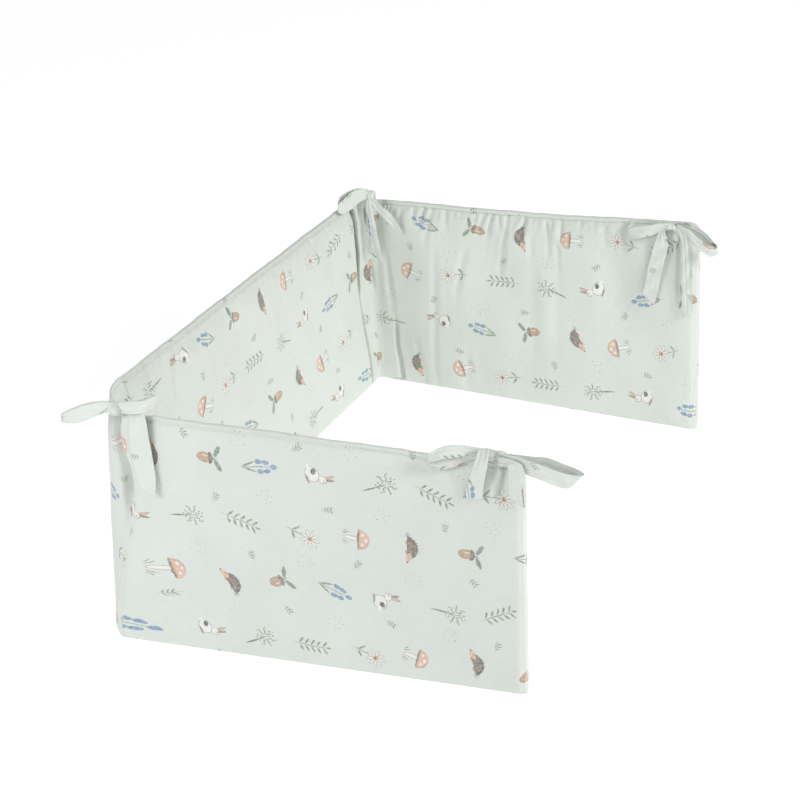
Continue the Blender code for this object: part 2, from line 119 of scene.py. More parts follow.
def turn_point(index, level, offset, radius, share):
    """Point on the outer or inner cloth round a corner: a leg, an arc and a leg."""
    previous, corner, following = (Vector(getattr(CORNERS[i], level)) for i in (index - 1, index, index + 1))
    before, after = (corner - previous).normalized(), (following - corner).normalized()
    sweep = before.angle(after)
    reach = math.tan(sweep / 2)
    sharp = corner + before * offset * reach + outward_of(before) * offset
    leg = CORNERS[index].trim + offset * reach - radius * reach
    if share < BEND_LEG_SHARE:
        return sharp - before * (radius * reach + leg * (1 - share / BEND_LEG_SHARE))
    if share > 1 - BEND_LEG_SHARE:
        return sharp + after * (radius * reach + leg * (1 - (1 - share) / BEND_LEG_SHARE))
    centre = sharp - before * radius * reach - outward_of(before) * radius
    turned = sweep * (share - BEND_LEG_SHARE) / (1 - 2 * BEND_LEG_SHARE)
    return centre + (Matrix.Rotation(-turned, 2) @ outward_of(before)) * radius


def bend_stations(index, corner_length):
    """Stations round a bend. The tie squeezes the padding together at its top."""
    corner = CORNERS[index]
    half = PAD_THICKNESS / 2
    marks = (0.0, BEND_LEG_SHARE, 1 - BEND_LEG_SHARE, 1.0)
    stretches = zip(marks, marks[1:])
    shares = [low + (high - low) * i / BEND_STEPS for low, high in stretches for i in range(BEND_STEPS)]
    stations = []
    for share in shares[1:]:
        places = []
        for level, radii in (("foot", corner.foot_radii), ("top", corner.top_radii)):
            outer = turn_point(index, level, half, radii[0], share)
            inner = turn_point(index, level, -half, radii[1], share)
            left = 1 - (1 - corner.pinch) * math.sin(math.pi * share) ** 2 if level == "top" else 1
            places += [(outer + inner) / 2, (outer - inner) / PAD_THICKNESS * left]
        stations.append(Station(*places, corner_length + corner.trim * (2 * share - 1)))
    return stations


corner_lengths = [0.0]
for first, last in zip(CORNERS, CORNERS[1:]):
    corner_lengths.append(corner_lengths[-1] + (Vector(last.foot) - Vector(first.foot)).length)
FRONT_BEND, BACK_BEND, BAND_END = corner_lengths[1:]
stations = []
for i in range(3):
    stations += straight_stations(CORNERS[i], CORNERS[i + 1], corner_lengths[i])
    if i < 2:
        stations += bend_stations(i + 1, corner_lengths[i + 1])
# the same as arrays, with a row for each station
foot, foot_out, top, top_out = (np.array([tuple(s[k]) for s in stations]) for k in range(4))
length = np.array([s.length for s in stations])
end_gap = np.minimum(length, BAND_END - length)
side_share = np.clip((length - FRONT_BEND) / (BACK_BEND - FRONT_BEND), 0, 1)
side_bow = SIDE_BOW * np.sin(math.pi * side_share)

# The top edge rises and dips as the hand left it: height above a straight line between the corners
TopRow = namedtuple("TopRow", "length raise_by")
TOP_LINE = [
    TopRow(0.000, -0.0008), TopRow(0.110, 0.0002), TopRow(0.200, 0.0014), TopRow(0.330, 0.0023),
    TopRow(0.450, 0.0013), TopRow(FRONT_BEND, 0.0000), TopRow(0.900, 0.0000),
    TopRow(BACK_BEND - 0.03, -0.0015), TopRow(BACK_BEND + 0.02, -0.0040), TopRow(BACK_BEND + 0.13, -0.0050),
    TopRow(BACK_BEND + 0.25, -0.0050), TopRow(BACK_BEND + 0.34, -0.0022), TopRow(BACK_BEND + 0.43, 0.0014),
    TopRow(BAND_END, 0.0016),
]
EDGE_WAVES = ((0.131, 0.0004, 0.4), (0.047, 0.0002, 2.1), (0.0235, 0.00015, 4.0))  # wavelength, height, phase
height = np.interp(length, corner_lengths, [corner.height for corner in CORNERS])
height += np.interp(length, [row.length for row in TOP_LINE], [row.raise_by for row in TOP_LINE])
for wavelength, wave_height, phase in EDGE_WAVES:
    height += wave_height * np.sin(2 * math.pi * length / wavelength + phase)
corner_rise = np.clip(1 - end_gap / TOP_CORNER_ROUNDING, 0, 1)
height -= TOP_CORNER_ROUNDING * (1 - np.sqrt(1 - 0.8 * corner_rise**2))
end_rise = np.clip(1 - end_gap / END_ROUNDING, 0, 1)
end_share = END_THICKNESS_SHARE + (1 - END_THICKNESS_SHARE) * np.sqrt(1 - end_rise**2)
end_share -= END_STITCH_DIP * np.exp(-(((end_gap - END_STITCH_GAP) / END_STITCH_WIDTH) ** 2))
on_back_run = np.clip((length - BACK_BEND + 0.02) / 0.04, 0, 1)[:, None]
stitch_depth = {face: low + (high - low) * on_back_run for face, (low, high) in STITCH_DEPTHS.items()}


def section_rows(face, stitch_depth, foot_rows, plain_rows, shoulder_rows):
    """One face of the section from the foot to the top: (share of height, offset, half thickness)."""
    half, shoulder_depth = PAD_THICKNESS / 2, SHOULDER_DEPTH[face]
    rows = []
    for i in range(foot_rows + 1):
        angle = math.pi / 2 * i / foot_rows
        lift, inset = FOOT_ROUNDING * (1 - math.cos(angle)) ** 1.15, FOOT_INSET * (1 - math.sin(angle))
        rows.append((0.0, lift, half - inset - FOOT_TUCK * (1 - i / foot_rows) ** 4))
    for i in range(1, plain_rows):
        share = 1 - (1 - i / plain_rows) ** 1.25
        rows.append((share, FOOT_ROUNDING * (1 - share) - shoulder_depth * share, half))
    for i in range(shoulder_rows):
        part = math.sin(math.pi / 2 * i / (shoulder_rows - 1))
        narrow = 1 - (1 - part * part) ** 0.72
        drop = shoulder_depth - (shoulder_depth - stitch_depth - STITCHED_GAP) * part
        rows.append((1.0, -drop, half - (half - EDGE_THICKNESS / 2) * narrow))
    # the edge above the stitching: (share of its depth, half thickness)
    edge, stitched = EDGE_THICKNESS / 2, STITCHED_THICKNESS / 2
    for depth_share, half_edge in (
        (1.00, stitched), (0.86, stitched + STITCHED_GAP / 2), (0.66, edge * 0.93),
        (0.44, edge), (0.24, edge * 0.92), (0.09, edge * 0.66), (0.00, edge * 0.15),
    ):
        rows.append((1.0, -stitch_depth * depth_share, half_edge))
    return [np.array(column) for column in zip(*rows)]


# ---------------------------------------------------------------- the band's folds
# The cotton is cut longer than the stitched edge that holds it, so its inner face hangs in gathers under
# the stitching and in long soft folds to the floor. The bends crush the inner cloth into deep creases,
# while the outer cloth is drawn nearly smooth.

# Folds by the face that they lie on, and by the place along the band that their lengths are taken from. A
# fold follows the places in its path, (length, height). depth is out of the cloth, so a trough is negative.
# sharp is how far it is creased, from 0 for a soft hollow to 1 for a pressed crease, and lean is how far it
# is pushed over along the band
Fold = namedtuple("Fold", "path width depth sharp lean", defaults=(0.0, 0.0))
LONG_FOLDS = {
    # the outer cloth is pulled aside beside the front bend
    ("outer", FRONT_BEND): [
        Fold([(-0.0125, 0.296), (-0.0155, 0.265), (-0.0235, 0.250), (-0.0305, 0.234), (-0.0345, 0.214),
              (-0.0380, 0.186), (-0.0405, 0.150)], 0.0060, -0.0130, 0.35, 0.0080),
    ],
    # it is hollowed beside the bow at its free end, and pressed in beside that bow's second tail
    ("outer", 0.0): [
        Fold([(0.190, 0.306), (0.150, 0.298), (0.100, 0.289), (0.080, 0.284)], 0.0120, -0.0020),
        Fold([(0.140, 0.296), (0.112, 0.291), (0.090, 0.284)], 0.0035, -0.0010),
        Fold([(0.0226, 0.306), (0.0230, 0.289), (0.0246, 0.268), (0.0260, 0.250)], 0.0054, -0.0085, 0.3),
    ],
    # the inner cloth of the side run
    ("inner", FRONT_BEND): [
        Fold([(0.038, 0.300), (0.044, 0.284)], 0.0030, -0.0016),
        Fold([(0.097, 0.303), (0.099, 0.286)], 0.0030, -0.0014),
        Fold([(0.138, 0.305), (0.128, 0.285), (0.126, 0.262)], 0.0036, -0.0022),
        Fold([(0.168, 0.305), (0.163, 0.285), (0.161, 0.270)], 0.0034, -0.0022),
        Fold([(0.197, 0.303), (0.196, 0.291), (0.188, 0.271), (0.178, 0.234),
              (0.172, 0.205)], 0.0042, -0.0030),
        Fold([(0.243, 0.302), (0.240, 0.288), (0.242, 0.262)], 0.0056, -0.0050, 0.5),
        Fold([(0.256, 0.260), (0.249, 0.230)], 0.0080, -0.0016),
        Fold([(0.289, 0.245), (0.284, 0.215)], 0.0080, -0.0014),
        Fold([(0.298, 0.301), (0.301, 0.290), (0.300, 0.272)], 0.0034, -0.0020),
        Fold([(0.343, 0.299), (0.3465, 0.287), (0.348, 0.270)], 0.0034, -0.0020),
        Fold([(0.351, 0.262), (0.357, 0.222)], 0.0080, -0.0018),
    ],
    ("inner", BACK_BEND): [
        # pressed in beside the second tail at the free end
        Fold([(0.4514, 0.285), (0.4503, 0.252), (0.4500, 0.218), (0.4496, 0.186),
              (0.4496, 0.165)], 0.0055, -0.0080, 0.3),
        # the side run, beside the back bend
        Fold([(-0.298, 0.250), (-0.289, 0.215)], 0.0080, -0.0016),
        Fold([(-0.282, 0.296), (-0.279, 0.284)], 0.0030, -0.0016),
        Fold([(-0.259, 0.295), (-0.262, 0.273), (-0.257, 0.253), (-0.247, 0.230),
              (-0.2395, 0.208)], 0.0042, -0.0030),
        Fold([(-0.153, 0.292), (-0.150, 0.278), (-0.1455, 0.250)], 0.0056, -0.0050, 0.5),
        Fold([(-0.1095, 0.290), (-0.106, 0.275), (-0.107, 0.261), (-0.111, 0.228),
              (-0.113, 0.190)], 0.0052, -0.0028),
        # the back bend's deep crease, with the cloth crushed beside it
        Fold([(-0.021, 0.275), (-0.031, 0.242), (-0.034, 0.219), (-0.044, 0.172),
              (-0.046, 0.140)], 0.0030, -0.0130, 0.9, 0.0110),
        Fold([(-0.014, 0.275), (-0.024, 0.242), (-0.027, 0.219), (-0.034, 0.172)], 0.0070, 0.0040),
        Fold([(-0.036, 0.215), (-0.045, 0.165), (-0.0455, 0.110), (-0.042, 0.045),
              (-0.0436, 0.006)], 0.0022, -0.0050, 0.8, 0.0026),
        Fold([(-0.038, 0.165), (-0.040, 0.142), (-0.036, 0.091)], 0.0060, -0.0030),
        Fold([(0.005, 0.284), (0.000, 0.235)], 0.0026, -0.0090, 0.6),
        Fold([(0.000, 0.200), (0.004, 0.135)], 0.0050, -0.0030),
        Fold([(0.0125, 0.234), (0.0150, 0.215), (0.0180, 0.190)], 0.0036, -0.0034, 0.5),
        # the back run
        Fold([(0.033, 0.215), (0.035, 0.196), (0.039, 0.146), (0.0415, 0.114),
              (0.044, 0.085)], 0.0062, -0.0022),
        Fold([(0.043, 0.110), (0.044, 0.091), (0.043, 0.058), (0.0455, 0.034),
              (0.0465, 0.006)], 0.0026, -0.0068, 0.8, 0.0020),
        Fold([(0.069, 0.085), (0.077, 0.047), (0.082, 0.008)], 0.0050, -0.0026),
        Fold([(0.113, 0.240), (0.112, 0.221), (0.106, 0.143), (0.100, 0.078), (0.0985, 0.038),
              (0.103, 0.006)], 0.0056, -0.0022),
        Fold([(0.160, 0.245), (0.1586, 0.233), (0.152, 0.215), (0.146, 0.193), (0.139, 0.164),
              (0.134, 0.130)], 0.0056, -0.0028),
        Fold([(0.147, 0.075), (0.144, 0.008)], 0.0080, -0.0016),
        Fold([(0.217, 0.292), (0.215, 0.269), (0.212, 0.251), (0.2095, 0.233), (0.204, 0.204),
              (0.198, 0.172)], 0.0040, -0.0036),
        Fold([(0.250, 0.268), (0.2485, 0.215)], 0.0048, -0.0014),
        Fold([(0.252, 0.250), (0.249, 0.165), (0.244, 0.035)], 0.0110, -0.0016),
        Fold([(0.269, 0.282), (0.274, 0.260), (0.271, 0.220)], 0.0034, -0.0020),
        Fold([(0.283, 0.264), (0.287, 0.245), (0.286, 0.205)], 0.0038, -0.0016),
        Fold([(0.286, 0.245), (0.283, 0.171), (0.279, 0.040)], 0.0110, -0.0016),
        Fold([(0.280, 0.287), (0.283, 0.258)], 0.0042, 0.0018),
        Fold([(0.351, 0.285), (0.352, 0.252)], 0.0050, -0.0016),
        Fold([(0.3755, 0.299), (0.378, 0.267), (0.377, 0.244)], 0.0046, -0.0038),
    ],
}
# a fold fades out at both ends, unless it starts above the one height or ends below the other
STITCHES_REACH, FLOOR_REACH = 0.27, 0.012
WADDING_WAVES = 14
WADDING_WAVE_HEIGHT = {"outer": 0.00024, "inner": 0.00042}

# Small gathers hang from the stitching. reach is how far down they run, slant how far along they drift.
# The back run's own are measured from the back bend, and more of them lie by chance on it and the side run
Gather = namedtuple("Gather", "length reach slant width depth")
GATHER_STRENGTH = 1.35
BACK_RUN_GATHERS = [
    Gather(0.0150, 0.026, 0.006, 0.0018, -0.0012), Gather(0.0215, 0.030, 0.009, 0.0018, -0.0013),
    Gather(0.0285, 0.026, 0.009, 0.0018, -0.0012), Gather(0.0365, 0.020, 0.005, 0.0018, -0.0009),
    Gather(0.0640, 0.030, 0.001, 0.0028, -0.0014), Gather(0.0834, 0.032, 0.000, 0.0030, -0.0018),
    Gather(0.0985, 0.036, -0.009, 0.0032, -0.0032), Gather(0.1100, 0.058, -0.015, 0.0034, -0.0026),
    Gather(0.1182, 0.020, -0.004, 0.0026, -0.0014), Gather(0.1285, 0.034, 0.001, 0.0036, -0.0018),
    Gather(0.1702, 0.022, 0.000, 0.0028, -0.0014), Gather(0.1840, 0.032, -0.012, 0.0032, -0.0022),
    Gather(0.1945, 0.038, -0.009, 0.0032, -0.0032), Gather(0.2040, 0.030, 0.004, 0.0030, -0.0018),
    Gather(0.2252, 0.018, -0.006, 0.0028, -0.0016), Gather(0.2408, 0.040, -0.007, 0.0034, -0.0034),
    Gather(0.2776, 0.016, 0.002, 0.0028, -0.0018), Gather(0.2900, 0.034, 0.002, 0.0026, -0.0034),
    Gather(0.3180, 0.020, -0.003, 0.0030, -0.0012), Gather(0.3350, 0.016, 0.002, 0.0028, -0.0010),
]
gathers = [gather._replace(length=BACK_BEND + gather.length) for gather in BACK_RUN_GATHERS]
FIRST_GATHER, LAST_GATHER = FRONT_BEND + 0.05, BAND_END - 0.02
gather_chance = random.Random(5)
gather_place = FIRST_GATHER
while gather_place < LAST_GATHER:
    gather_place += gather_chance.uniform(0.006, 0.015)
    reach = gather_chance.uniform(0.008, 0.028)
    drift = gather_chance.uniform(-0.65, 0.05) * reach
    width, depth = gather_chance.uniform(0.0018, 0.0030), -gather_chance.uniform(0.0005, 0.0014)
    gathers.append(Gather(gather_place, reach, drift, width, depth))


def fade(value, low, high):
    """0 below low, 1 above high, smooth between."""
    share = np.clip((value - low) / (high - low), 0, 1)
    return share * share * (3 - 2 * share)


def follow(path, along, heights):
    """How far each point of the grid lies from a path, and its share of the way along the path."""
    steps = [math.dist(a, b) for a, b in zip(path, path[1:])]
    nearest, share, walked = np.full(heights.shape, np.inf), np.zeros_like(heights), 0.0
    for (x0, z0), (x1, z1), step in zip(path, path[1:], steps):
        t = np.clip(((along - x0) * (x1 - x0) + (heights - z0) * (z1 - z0)) / step**2, 0, 1)
        distance = np.hypot(along - x0 - t * (x1 - x0), heights - z0 - t * (z1 - z0))
        closer = distance < nearest
        nearest = np.where(closer, distance, nearest)
        share = np.where(closer, (walked + t * step) / sum(steps), share)
        walked += step
    return nearest, share


def trough(distance, width):
    """A hollow with slightly raised shoulders."""
    across = (distance / width) ** 2
    return (1 - 0.6 * across) * np.exp(-0.9 * across)


def fold_relief(face, along, heights, top_heights):
    """How far the folds lift one face of the cloth, and push it along, at every point of its grid."""
    relief, push = np.zeros_like(heights), np.zeros_like(heights)
    here = [(start, fold) for (side, start), folds in LONG_FOLDS.items() if side == face for fold in folds]
    for start, fold in here:
        distance, share = follow([(start + past, up) for past, up in fold.path], along, heights)
        from_stitches, to_floor = fold.path[0][1] > STITCHES_REACH, fold.path[-1][1] < FLOOR_REACH
        starting = 1 if from_stitches else fade(share, 0.0, 0.3)
        strength = starting * (1 if to_floor else 1 - fade(share, 0.55, 1.0))
        width = fold.width * (0.75 + 0.5 * share if from_stitches else 1.0)
        soft, sharp = trough(distance, width), np.exp(-((distance / width) ** 4))
        relief += fold.depth * strength * (soft * (1 - fold.sharp) + sharp * fold.sharp)
        push += fold.lean * strength * sharp
    below_stitches = top_heights - stitch_depth[face] - heights
    for gather in gathers if face == "inner" else ():
        down = np.clip(below_stitches / gather.reach, 0, 1.4)
        strength = (1 - fade(down, 0.25, 1.15)) * GATHER_STRENGTH
        sideways = along - gather.length - gather.slant * down
        relief += gather.depth * strength * trough(sideways, gather.width * (0.8 + down))
    relief *= fade(below_stitches, -0.0010, 0.0014)
    # the wadding's own slow unevenness
    chance = random.Random(face)
    for _ in range(WADDING_WAVES):
        wavelength, heading = chance.uniform(0.06, 0.19), chance.uniform(-0.9, 0.9)
        travelled = along * math.cos(heading) + heights * math.sin(heading)
        wave = np.sin(2 * math.pi / wavelength * travelled + chance.uniform(0, 6.3))
        relief += wave * WADDING_WAVE_HEIGHT[face] * fade(below_stitches, 0.004, 0.030)
    return relief, push


# ---------------------------------------------------------------- the band's cloth
# The cover's outer and inner cloth are cut to the same pattern, sewn together along the top and at both
# ends, and turned over the wadding.

LEAST_PADDING = 0.0012
INNER_PRINT_SHIFT = 0.127  # the print doesn't match from one side of the cover to the other
SEAM_ALLOWANCE = 0.004
END_STRIP_WIDTH = 0.001
END_STRIP_STAGGER = 0.0025


def face_grid(face, outer=None):
    """One face: a row of points at every station from the foot to the top, their heights, how far out of the
    band's middle they lie, and how far they are pushed along. The inner face gives way to the outer one's
    folds."""
    side = 1 if face == "outer" else -1
    counts = {"outer": (6, 24, 10), "inner": (6, 44, 18)}[face]
    front, back = (section_rows(face, depth, *counts) for depth in STITCH_DEPTHS[face])
    (share, offset, half), deep_offset = front, back[1]
    heights = share * height[:, None] + offset + (deep_offset - offset) * on_back_run
    rise = (heights / height[:, None])[..., None]
    middle = foot[:, None, :] * (1 - rise) + top[:, None, :] * rise
    outward = foot_out[:, None, :] * (1 - rise) + top_out[:, None, :] * rise
    relief, push = fold_relief(face, length[:, None], heights, height[:, None])
    relief *= fade(heights, 0.0, 0.010) * fade(end_gap, 0.0, 0.02)[:, None]
    push *= fade(heights, 0.0, 0.010)
    size = np.linalg.norm(outward, axis=-1)
    out = side * (half * end_share[:, None] * size + relief)
    if outer:
        for i, (outer_heights, outer_out, outer_push) in enumerate(zip(*outer[1:])):
            out[i] = np.minimum(out[i], np.interp(heights[i], outer_heights, outer_out) - LEAST_PADDING)
            push[i] += np.interp(heights[i], outer_heights, outer_push)
    outward = outward / size[..., None]
    onward = np.dstack([outward[..., 1], -outward[..., 0]])
    bowed = out + side_bow[:, None] * (1 - rise[..., 0])
    places = middle + outward * bowed[..., None] + onward * push[..., None] + np.array(plan_shift)
    return np.dstack([places, heights]), heights, out, push


def add_cloth(name, points, faces, face_uvs, material, below_top=None):
    """A mesh object. face_uvs has every face corner's place on the flat cloth, in metres, and below_top how
    far every point lies below the top edge."""
    mesh = bpy.data.meshes.new(name)
    mesh.from_pydata(points, [], faces)
    layer = mesh.uv_layers.new(name="flat_cloth")
    layer.data.foreach_set("uv", [value for face in face_uvs for corner in face for value in corner])
    if below_top is not None:
        mesh.attributes.new("below_top", "FLOAT", "POINT").data.foreach_set("value", below_top)
    mesh.materials.append(material)
    mesh.shade_smooth()
    mesh.update()
    piece = bpy.data.objects.new(name, mesh)
    bpy.context.scene.collection.objects.link(piece)
    return piece


def sew_band(material):
    """The whole cover as one closed mesh: rings of points, up the outer cloth and down the inner."""
    outer_side = face_grid("outer")
    outer, inner = outer_side[0], face_grid("inner", outer_side)[0]
    count, outer_rows = outer.shape[:2]
    rings = np.concatenate([outer, inner[:, ::-1]], axis=1)
    size = rings.shape[1]

    def arc_length(points):
        return np.concatenate([[0.0], np.cumsum(np.linalg.norm(np.diff(points, axis=0), axis=1))])

    outer_along, inner_along = (arc_length(grid[:, grid.shape[1] // 2, :2]) for grid in (outer, inner))
    outer_reach, inner_reach = arc_length(outer[count // 4]), arc_length(inner[count // 2])

    def flat_place(i, j):
        """Place of a ring's point on the flat cloth. The print is turned on its side."""
        if j < outer_rows:
            return -outer_reach[j], -outer_along[i]
        return inner_reach[size - 1 - j], -inner_along[i] - INNER_PRINT_SHIFT

    faces, uvs = [], []
    for i in range(count - 1):
        for j in range(size):
            k = (j + 1) % size
            faces.append((i * size + j, (i + 1) * size + j, (i + 1) * size + k, i * size + k))
            places = [flat_place(i, j), flat_place(i + 1, j)]
            if j in (outer_rows - 1, size - 1):
                step = -SEAM_ALLOWANCE if j == outer_rows - 1 else SEAM_ALLOWANCE
                uvs.append(places + [(x + step, y) for x, y in places[::-1]])
            else:
                uvs.append(places + [flat_place(i + 1, k), flat_place(i, k)])
    # the ends: strips between the outer and the inner cloth
    for i, order in ((0, 1), (count - 1, -1)):
        low, high = 0, size - 1
        while high - low > 1:
            outer_next, inner_next = rings[i, low + 1, 2], rings[i, high - 1, 2]
            if high - low > 2 and abs(outer_next - inner_next) < END_STRIP_STAGGER:
                corners = (low, low + 1, high - 1, high)
                low, high = low + 1, high - 1
            elif outer_next < inner_next:
                corners = (low, low + 1, high)
                low += 1
            else:
                corners = (low, high - 1, high)
                high -= 1
            x, y = flat_place(i, min(low, outer_rows - 1))
            faces.append(tuple(i * size + corner for corner in corners)[::order])
            steps = range(len(corners))
            uvs.append([(x - END_STRIP_WIDTH * n, y + END_STRIP_WIDTH * (n % 2)) for n in steps])
    below_top = (height[:, None] - rings[..., 2]).ravel()
    return add_cloth("padded_band_cover", rings.reshape(-1, 3).tolist(), faces, uvs, material, below_top)


# ---------------------------------------------------------------- the printed cotton
# A plain-woven cotton in pale mint, printed in soft water inks with a scattered woodland design that is
# turned on its side: sprigs, daisies, toadstools, acorns, bluebells, small trees, rabbits and hedgehogs.


def ink(red, green, blue):
    """A colour as it looks on cloth, 0 to 255, in the light's own units."""
    values = [c / 255 for c in (red, green, blue)]
    return (*(c / 12.92 if c <= 0.04045 else ((c + 0.055) / 1.055) ** 2.4 for c in values), 1.0)


INKS = {
    "sage": ink(120, 142, 118), "moss": ink(84, 108, 84), "taupe": ink(146, 120, 104),
    "bark": ink(104, 84, 74), "charcoal": ink(52, 50, 54), "blush": ink(226, 180, 154),
    "tan": ink(190, 148, 112), "rose": ink(206, 150, 132), "dusty_blue": ink(112, 146, 190),
    "slate": ink(84, 104, 136), "chalk": ink(243, 241, 235), "cream": ink(232, 224, 208),
}
COTTON_FINISH = {"Roughness": 0.88, "Specular IOR Level": 0.25, "Sheen Weight": 0.18, "Sheen Roughness": 0.5}

# Each motif is built of soft-edged ovals, in centimetres from its middle. turn is in degrees. twin has a
# mirror image across the motif's upright axis, ladder is repeated up a stem as well, ring7 and ring9 go
# round a middle that lies 0.7 above the motif's own, and spines stand on a back. half keeps only the part
# above the oval's middle
Oval = namedtuple("Oval", "ink fold x y wide high turn half", defaults=(0, False))
MOTIFS = {
    "fern": [
        Oval("moss", "plain", 0.0, -0.1, 0.045, 2.2),
        Oval("sage", "ladder", 0.52, 0.16, 0.46, 0.13, 34),
        Oval("moss", "ladder", 0.40, 0.09, 0.36, 0.022, 34),
        Oval("sage", "plain", 0.0, 2.15, 0.13, 0.34),
    ],
    "daisy": [
        Oval("moss", "plain", 0.0, -1.0, 0.050, 1.35),
        Oval("sage", "twin", 0.50, -1.30, 0.52, 0.14, 38),
        Oval("taupe", "ring9", 0.72, 0.0, 0.54, 0.190),
        Oval("chalk", "ring9", 0.72, 0.0, 0.48, 0.138),
        Oval("tan", "plain", 0.0, 0.7, 0.30, 0.30),
        Oval("bark", "plain", 0.07, 0.62, 0.16, 0.13),
    ],
    "toadstool": [
        Oval("taupe", "plain", 0.0, -0.80, 0.32, 1.15),
        Oval("chalk", "plain", 0.0, -0.80, 0.25, 1.08),
        Oval("bark", "plain", 0.0, 0.00, 1.40, 0.20),
        Oval("rose", "plain", 0.0, 0.00, 1.38, 1.32, 0, True),
        Oval("blush", "plain", -0.12, 0.12, 1.16, 1.08, 0, True),
        Oval("chalk", "twin", 0.66, 0.46, 0.22, 0.16),
        Oval("chalk", "plain", 0.05, 0.88, 0.24, 0.18),
        Oval("moss", "twin", 0.62, -1.55, 0.05, 0.48, -24),
        Oval("sage", "twin", 0.88, -1.70, 0.05, 0.34, -42),
    ],
    "hedgehog": [
        Oval("bark", "plain", -0.2, -0.5, 1.55, 1.35, 0, True),
        Oval("charcoal", "spines", 1.22, 0.0, 0.36, 0.040),
        Oval("taupe", "spines", 0.78, 0.0, 0.34, 0.035),
        Oval("blush", "plain", 1.18, -0.26, 0.66, 0.32, -14),
        Oval("charcoal", "plain", 1.84, -0.42, 0.12, 0.11),
        Oval("charcoal", "plain", 1.20, -0.14, 0.085, 0.085),
        Oval("tan", "plain", -0.80, -0.58, 0.28, 0.11),
        Oval("tan", "plain", 0.55, -0.58, 0.28, 0.11),
        Oval("sage", "plain", -1.80, -0.40, 0.05, 0.42, 30),
        Oval("moss", "plain", -2.00, -0.52, 0.05, 0.30, 52),
    ],
    "acorn": [
        Oval("bark", "plain", 0.0, -0.58, 0.64, 0.96),
        Oval("tan", "plain", 0.0, -0.56, 0.58, 0.90),
        Oval("cream", "plain", -0.22, -0.50, 0.08, 0.40),
        Oval("bark", "plain", 0.0, -0.08, 0.76, 0.56, 0, True),
        Oval("taupe", "plain", -0.10, 0.08, 0.46, 0.26, 0, True),
        Oval("bark", "plain", 0.05, 0.62, 0.06, 0.36, -10),
        Oval("sage", "twin", 0.88, 1.00, 0.78, 0.28, 26),
        Oval("moss", "twin", 0.88, 1.00, 0.64, 0.03, 26),
    ],
    "bluebell": [
        Oval("moss", "plain", 0.0, -0.2, 0.050, 1.95),
        Oval("sage", "twin", 0.36, -1.45, 0.13, 0.86, -22),
        Oval("slate", "twin", 0.56, 0.70, 0.27, 0.38, 12),
        Oval("slate", "twin", 0.64, -0.15, 0.29, 0.40, 12),
        Oval("dusty_blue", "plain", 0.0, 1.62, 0.30, 0.42),
        Oval("dusty_blue", "twin", 0.55, 0.80, 0.26, 0.36, 12),
        Oval("dusty_blue", "twin", 0.63, -0.05, 0.28, 0.38, 12),
    ],
    "rabbit": [
        Oval("taupe", "plain", 0.30, -0.66, 1.02, 0.86),
        Oval("taupe", "plain", -0.62, 0.36, 0.54, 0.48),
        Oval("taupe", "plain", -0.44, 1.24, 0.18, 0.66, -8),
        Oval("taupe", "plain", -0.84, 1.20, 0.16, 0.58, 12),
        Oval("chalk", "plain", 0.30, -0.66, 0.95, 0.79),
        Oval("chalk", "plain", -0.60, 0.34, 0.48, 0.42),
        Oval("blush", "plain", -0.44, 1.24, 0.10, 0.52, -8),
        Oval("charcoal", "plain", 0.62, -0.38, 0.40, 0.30, 25),
        Oval("charcoal", "plain", -0.78, 0.44, 0.085, 0.085),
        Oval("rose", "plain", -1.10, 0.24, 0.07, 0.06),
        Oval("taupe", "plain", -0.12, -1.42, 0.62, 0.14),
        Oval("chalk", "plain", 1.34, -0.80, 0.24, 0.24),
    ],
    "tree": [
        Oval("bark", "plain", 0.0, -1.25, 0.10, 1.15),
        Oval("taupe", "plain", 0.0, 0.20, 0.06, 0.80),
        Oval("sage", "ring9", 1.02, 0.0, 0.17, 0.085),
        Oval("moss", "ring7", 0.74, 0.0, 0.17, 0.080),
        Oval("sage", "ring9", 0.46, 0.0, 0.15, 0.075),
        Oval("moss", "ring7", 1.26, 0.0, 0.12, 0.070),
    ],
}
# what fills the places between four motifs, in turn: a leafy sprig, and a scatter of tiny buds
SPRIG = [
    Oval("moss", "plain", 0.0, 0.0, 0.028, 0.85),
    Oval("sage", "twin", 0.22, 0.35, 0.26, 0.065, 38),
    Oval("sage", "twin", 0.22, -0.02, 0.26, 0.065, 38),
    Oval("sage", "twin", 0.20, -0.38, 0.22, 0.055, 38),
]
BUDS = [
    Oval("sage", "twin", 0.62, 0.55, 0.07, 0.06),
    Oval("taupe", "twin", 0.26, 0.18, 0.055, 0.05),
    Oval("sage", "twin", 0.88, -0.30, 0.06, 0.05),
    Oval("taupe", "plain", -0.35, -0.70, 0.055, 0.05),
    Oval("sage", "plain", 0.55, -0.85, 0.06, 0.05),
    Oval("taupe", "plain", 0.10, 0.80, 0.05, 0.05),
]
# The motifs stand in cells, one in each, and the sprigs and buds between them in cells that are shifted by
# a share of a cell. wander is how far a motif strays in its cell, and swing how far it turns
Scatter = namedtuple("Scatter", "shift seed wander swing")
MOTIF_SCATTER = Scatter(0.0, 3.0, 0.014, 0.9)
SPRIG_SCATTER = Scatter(0.5, 11.0, 0.012, 4.0)
CELL_WIDE, CELL_HIGH = 0.0770, 0.0690
COLUMN_DROP = 0.5
REPEAT = 8  # cells, each way, until the print starts again

# how far apart a ladder's rungs are, how far up a ring's middle lies, and where the spines stand, in
# centimetres, as is the soft edge of the ink
RUNG = 0.78
RING_RISE = 0.7
SPINES, SPINE_SHIFT, SPINE_RISE = 27, 0.2, -0.5
SOFT_EDGE = 0.028
CENTIMETRES = 100.0  # in a metre

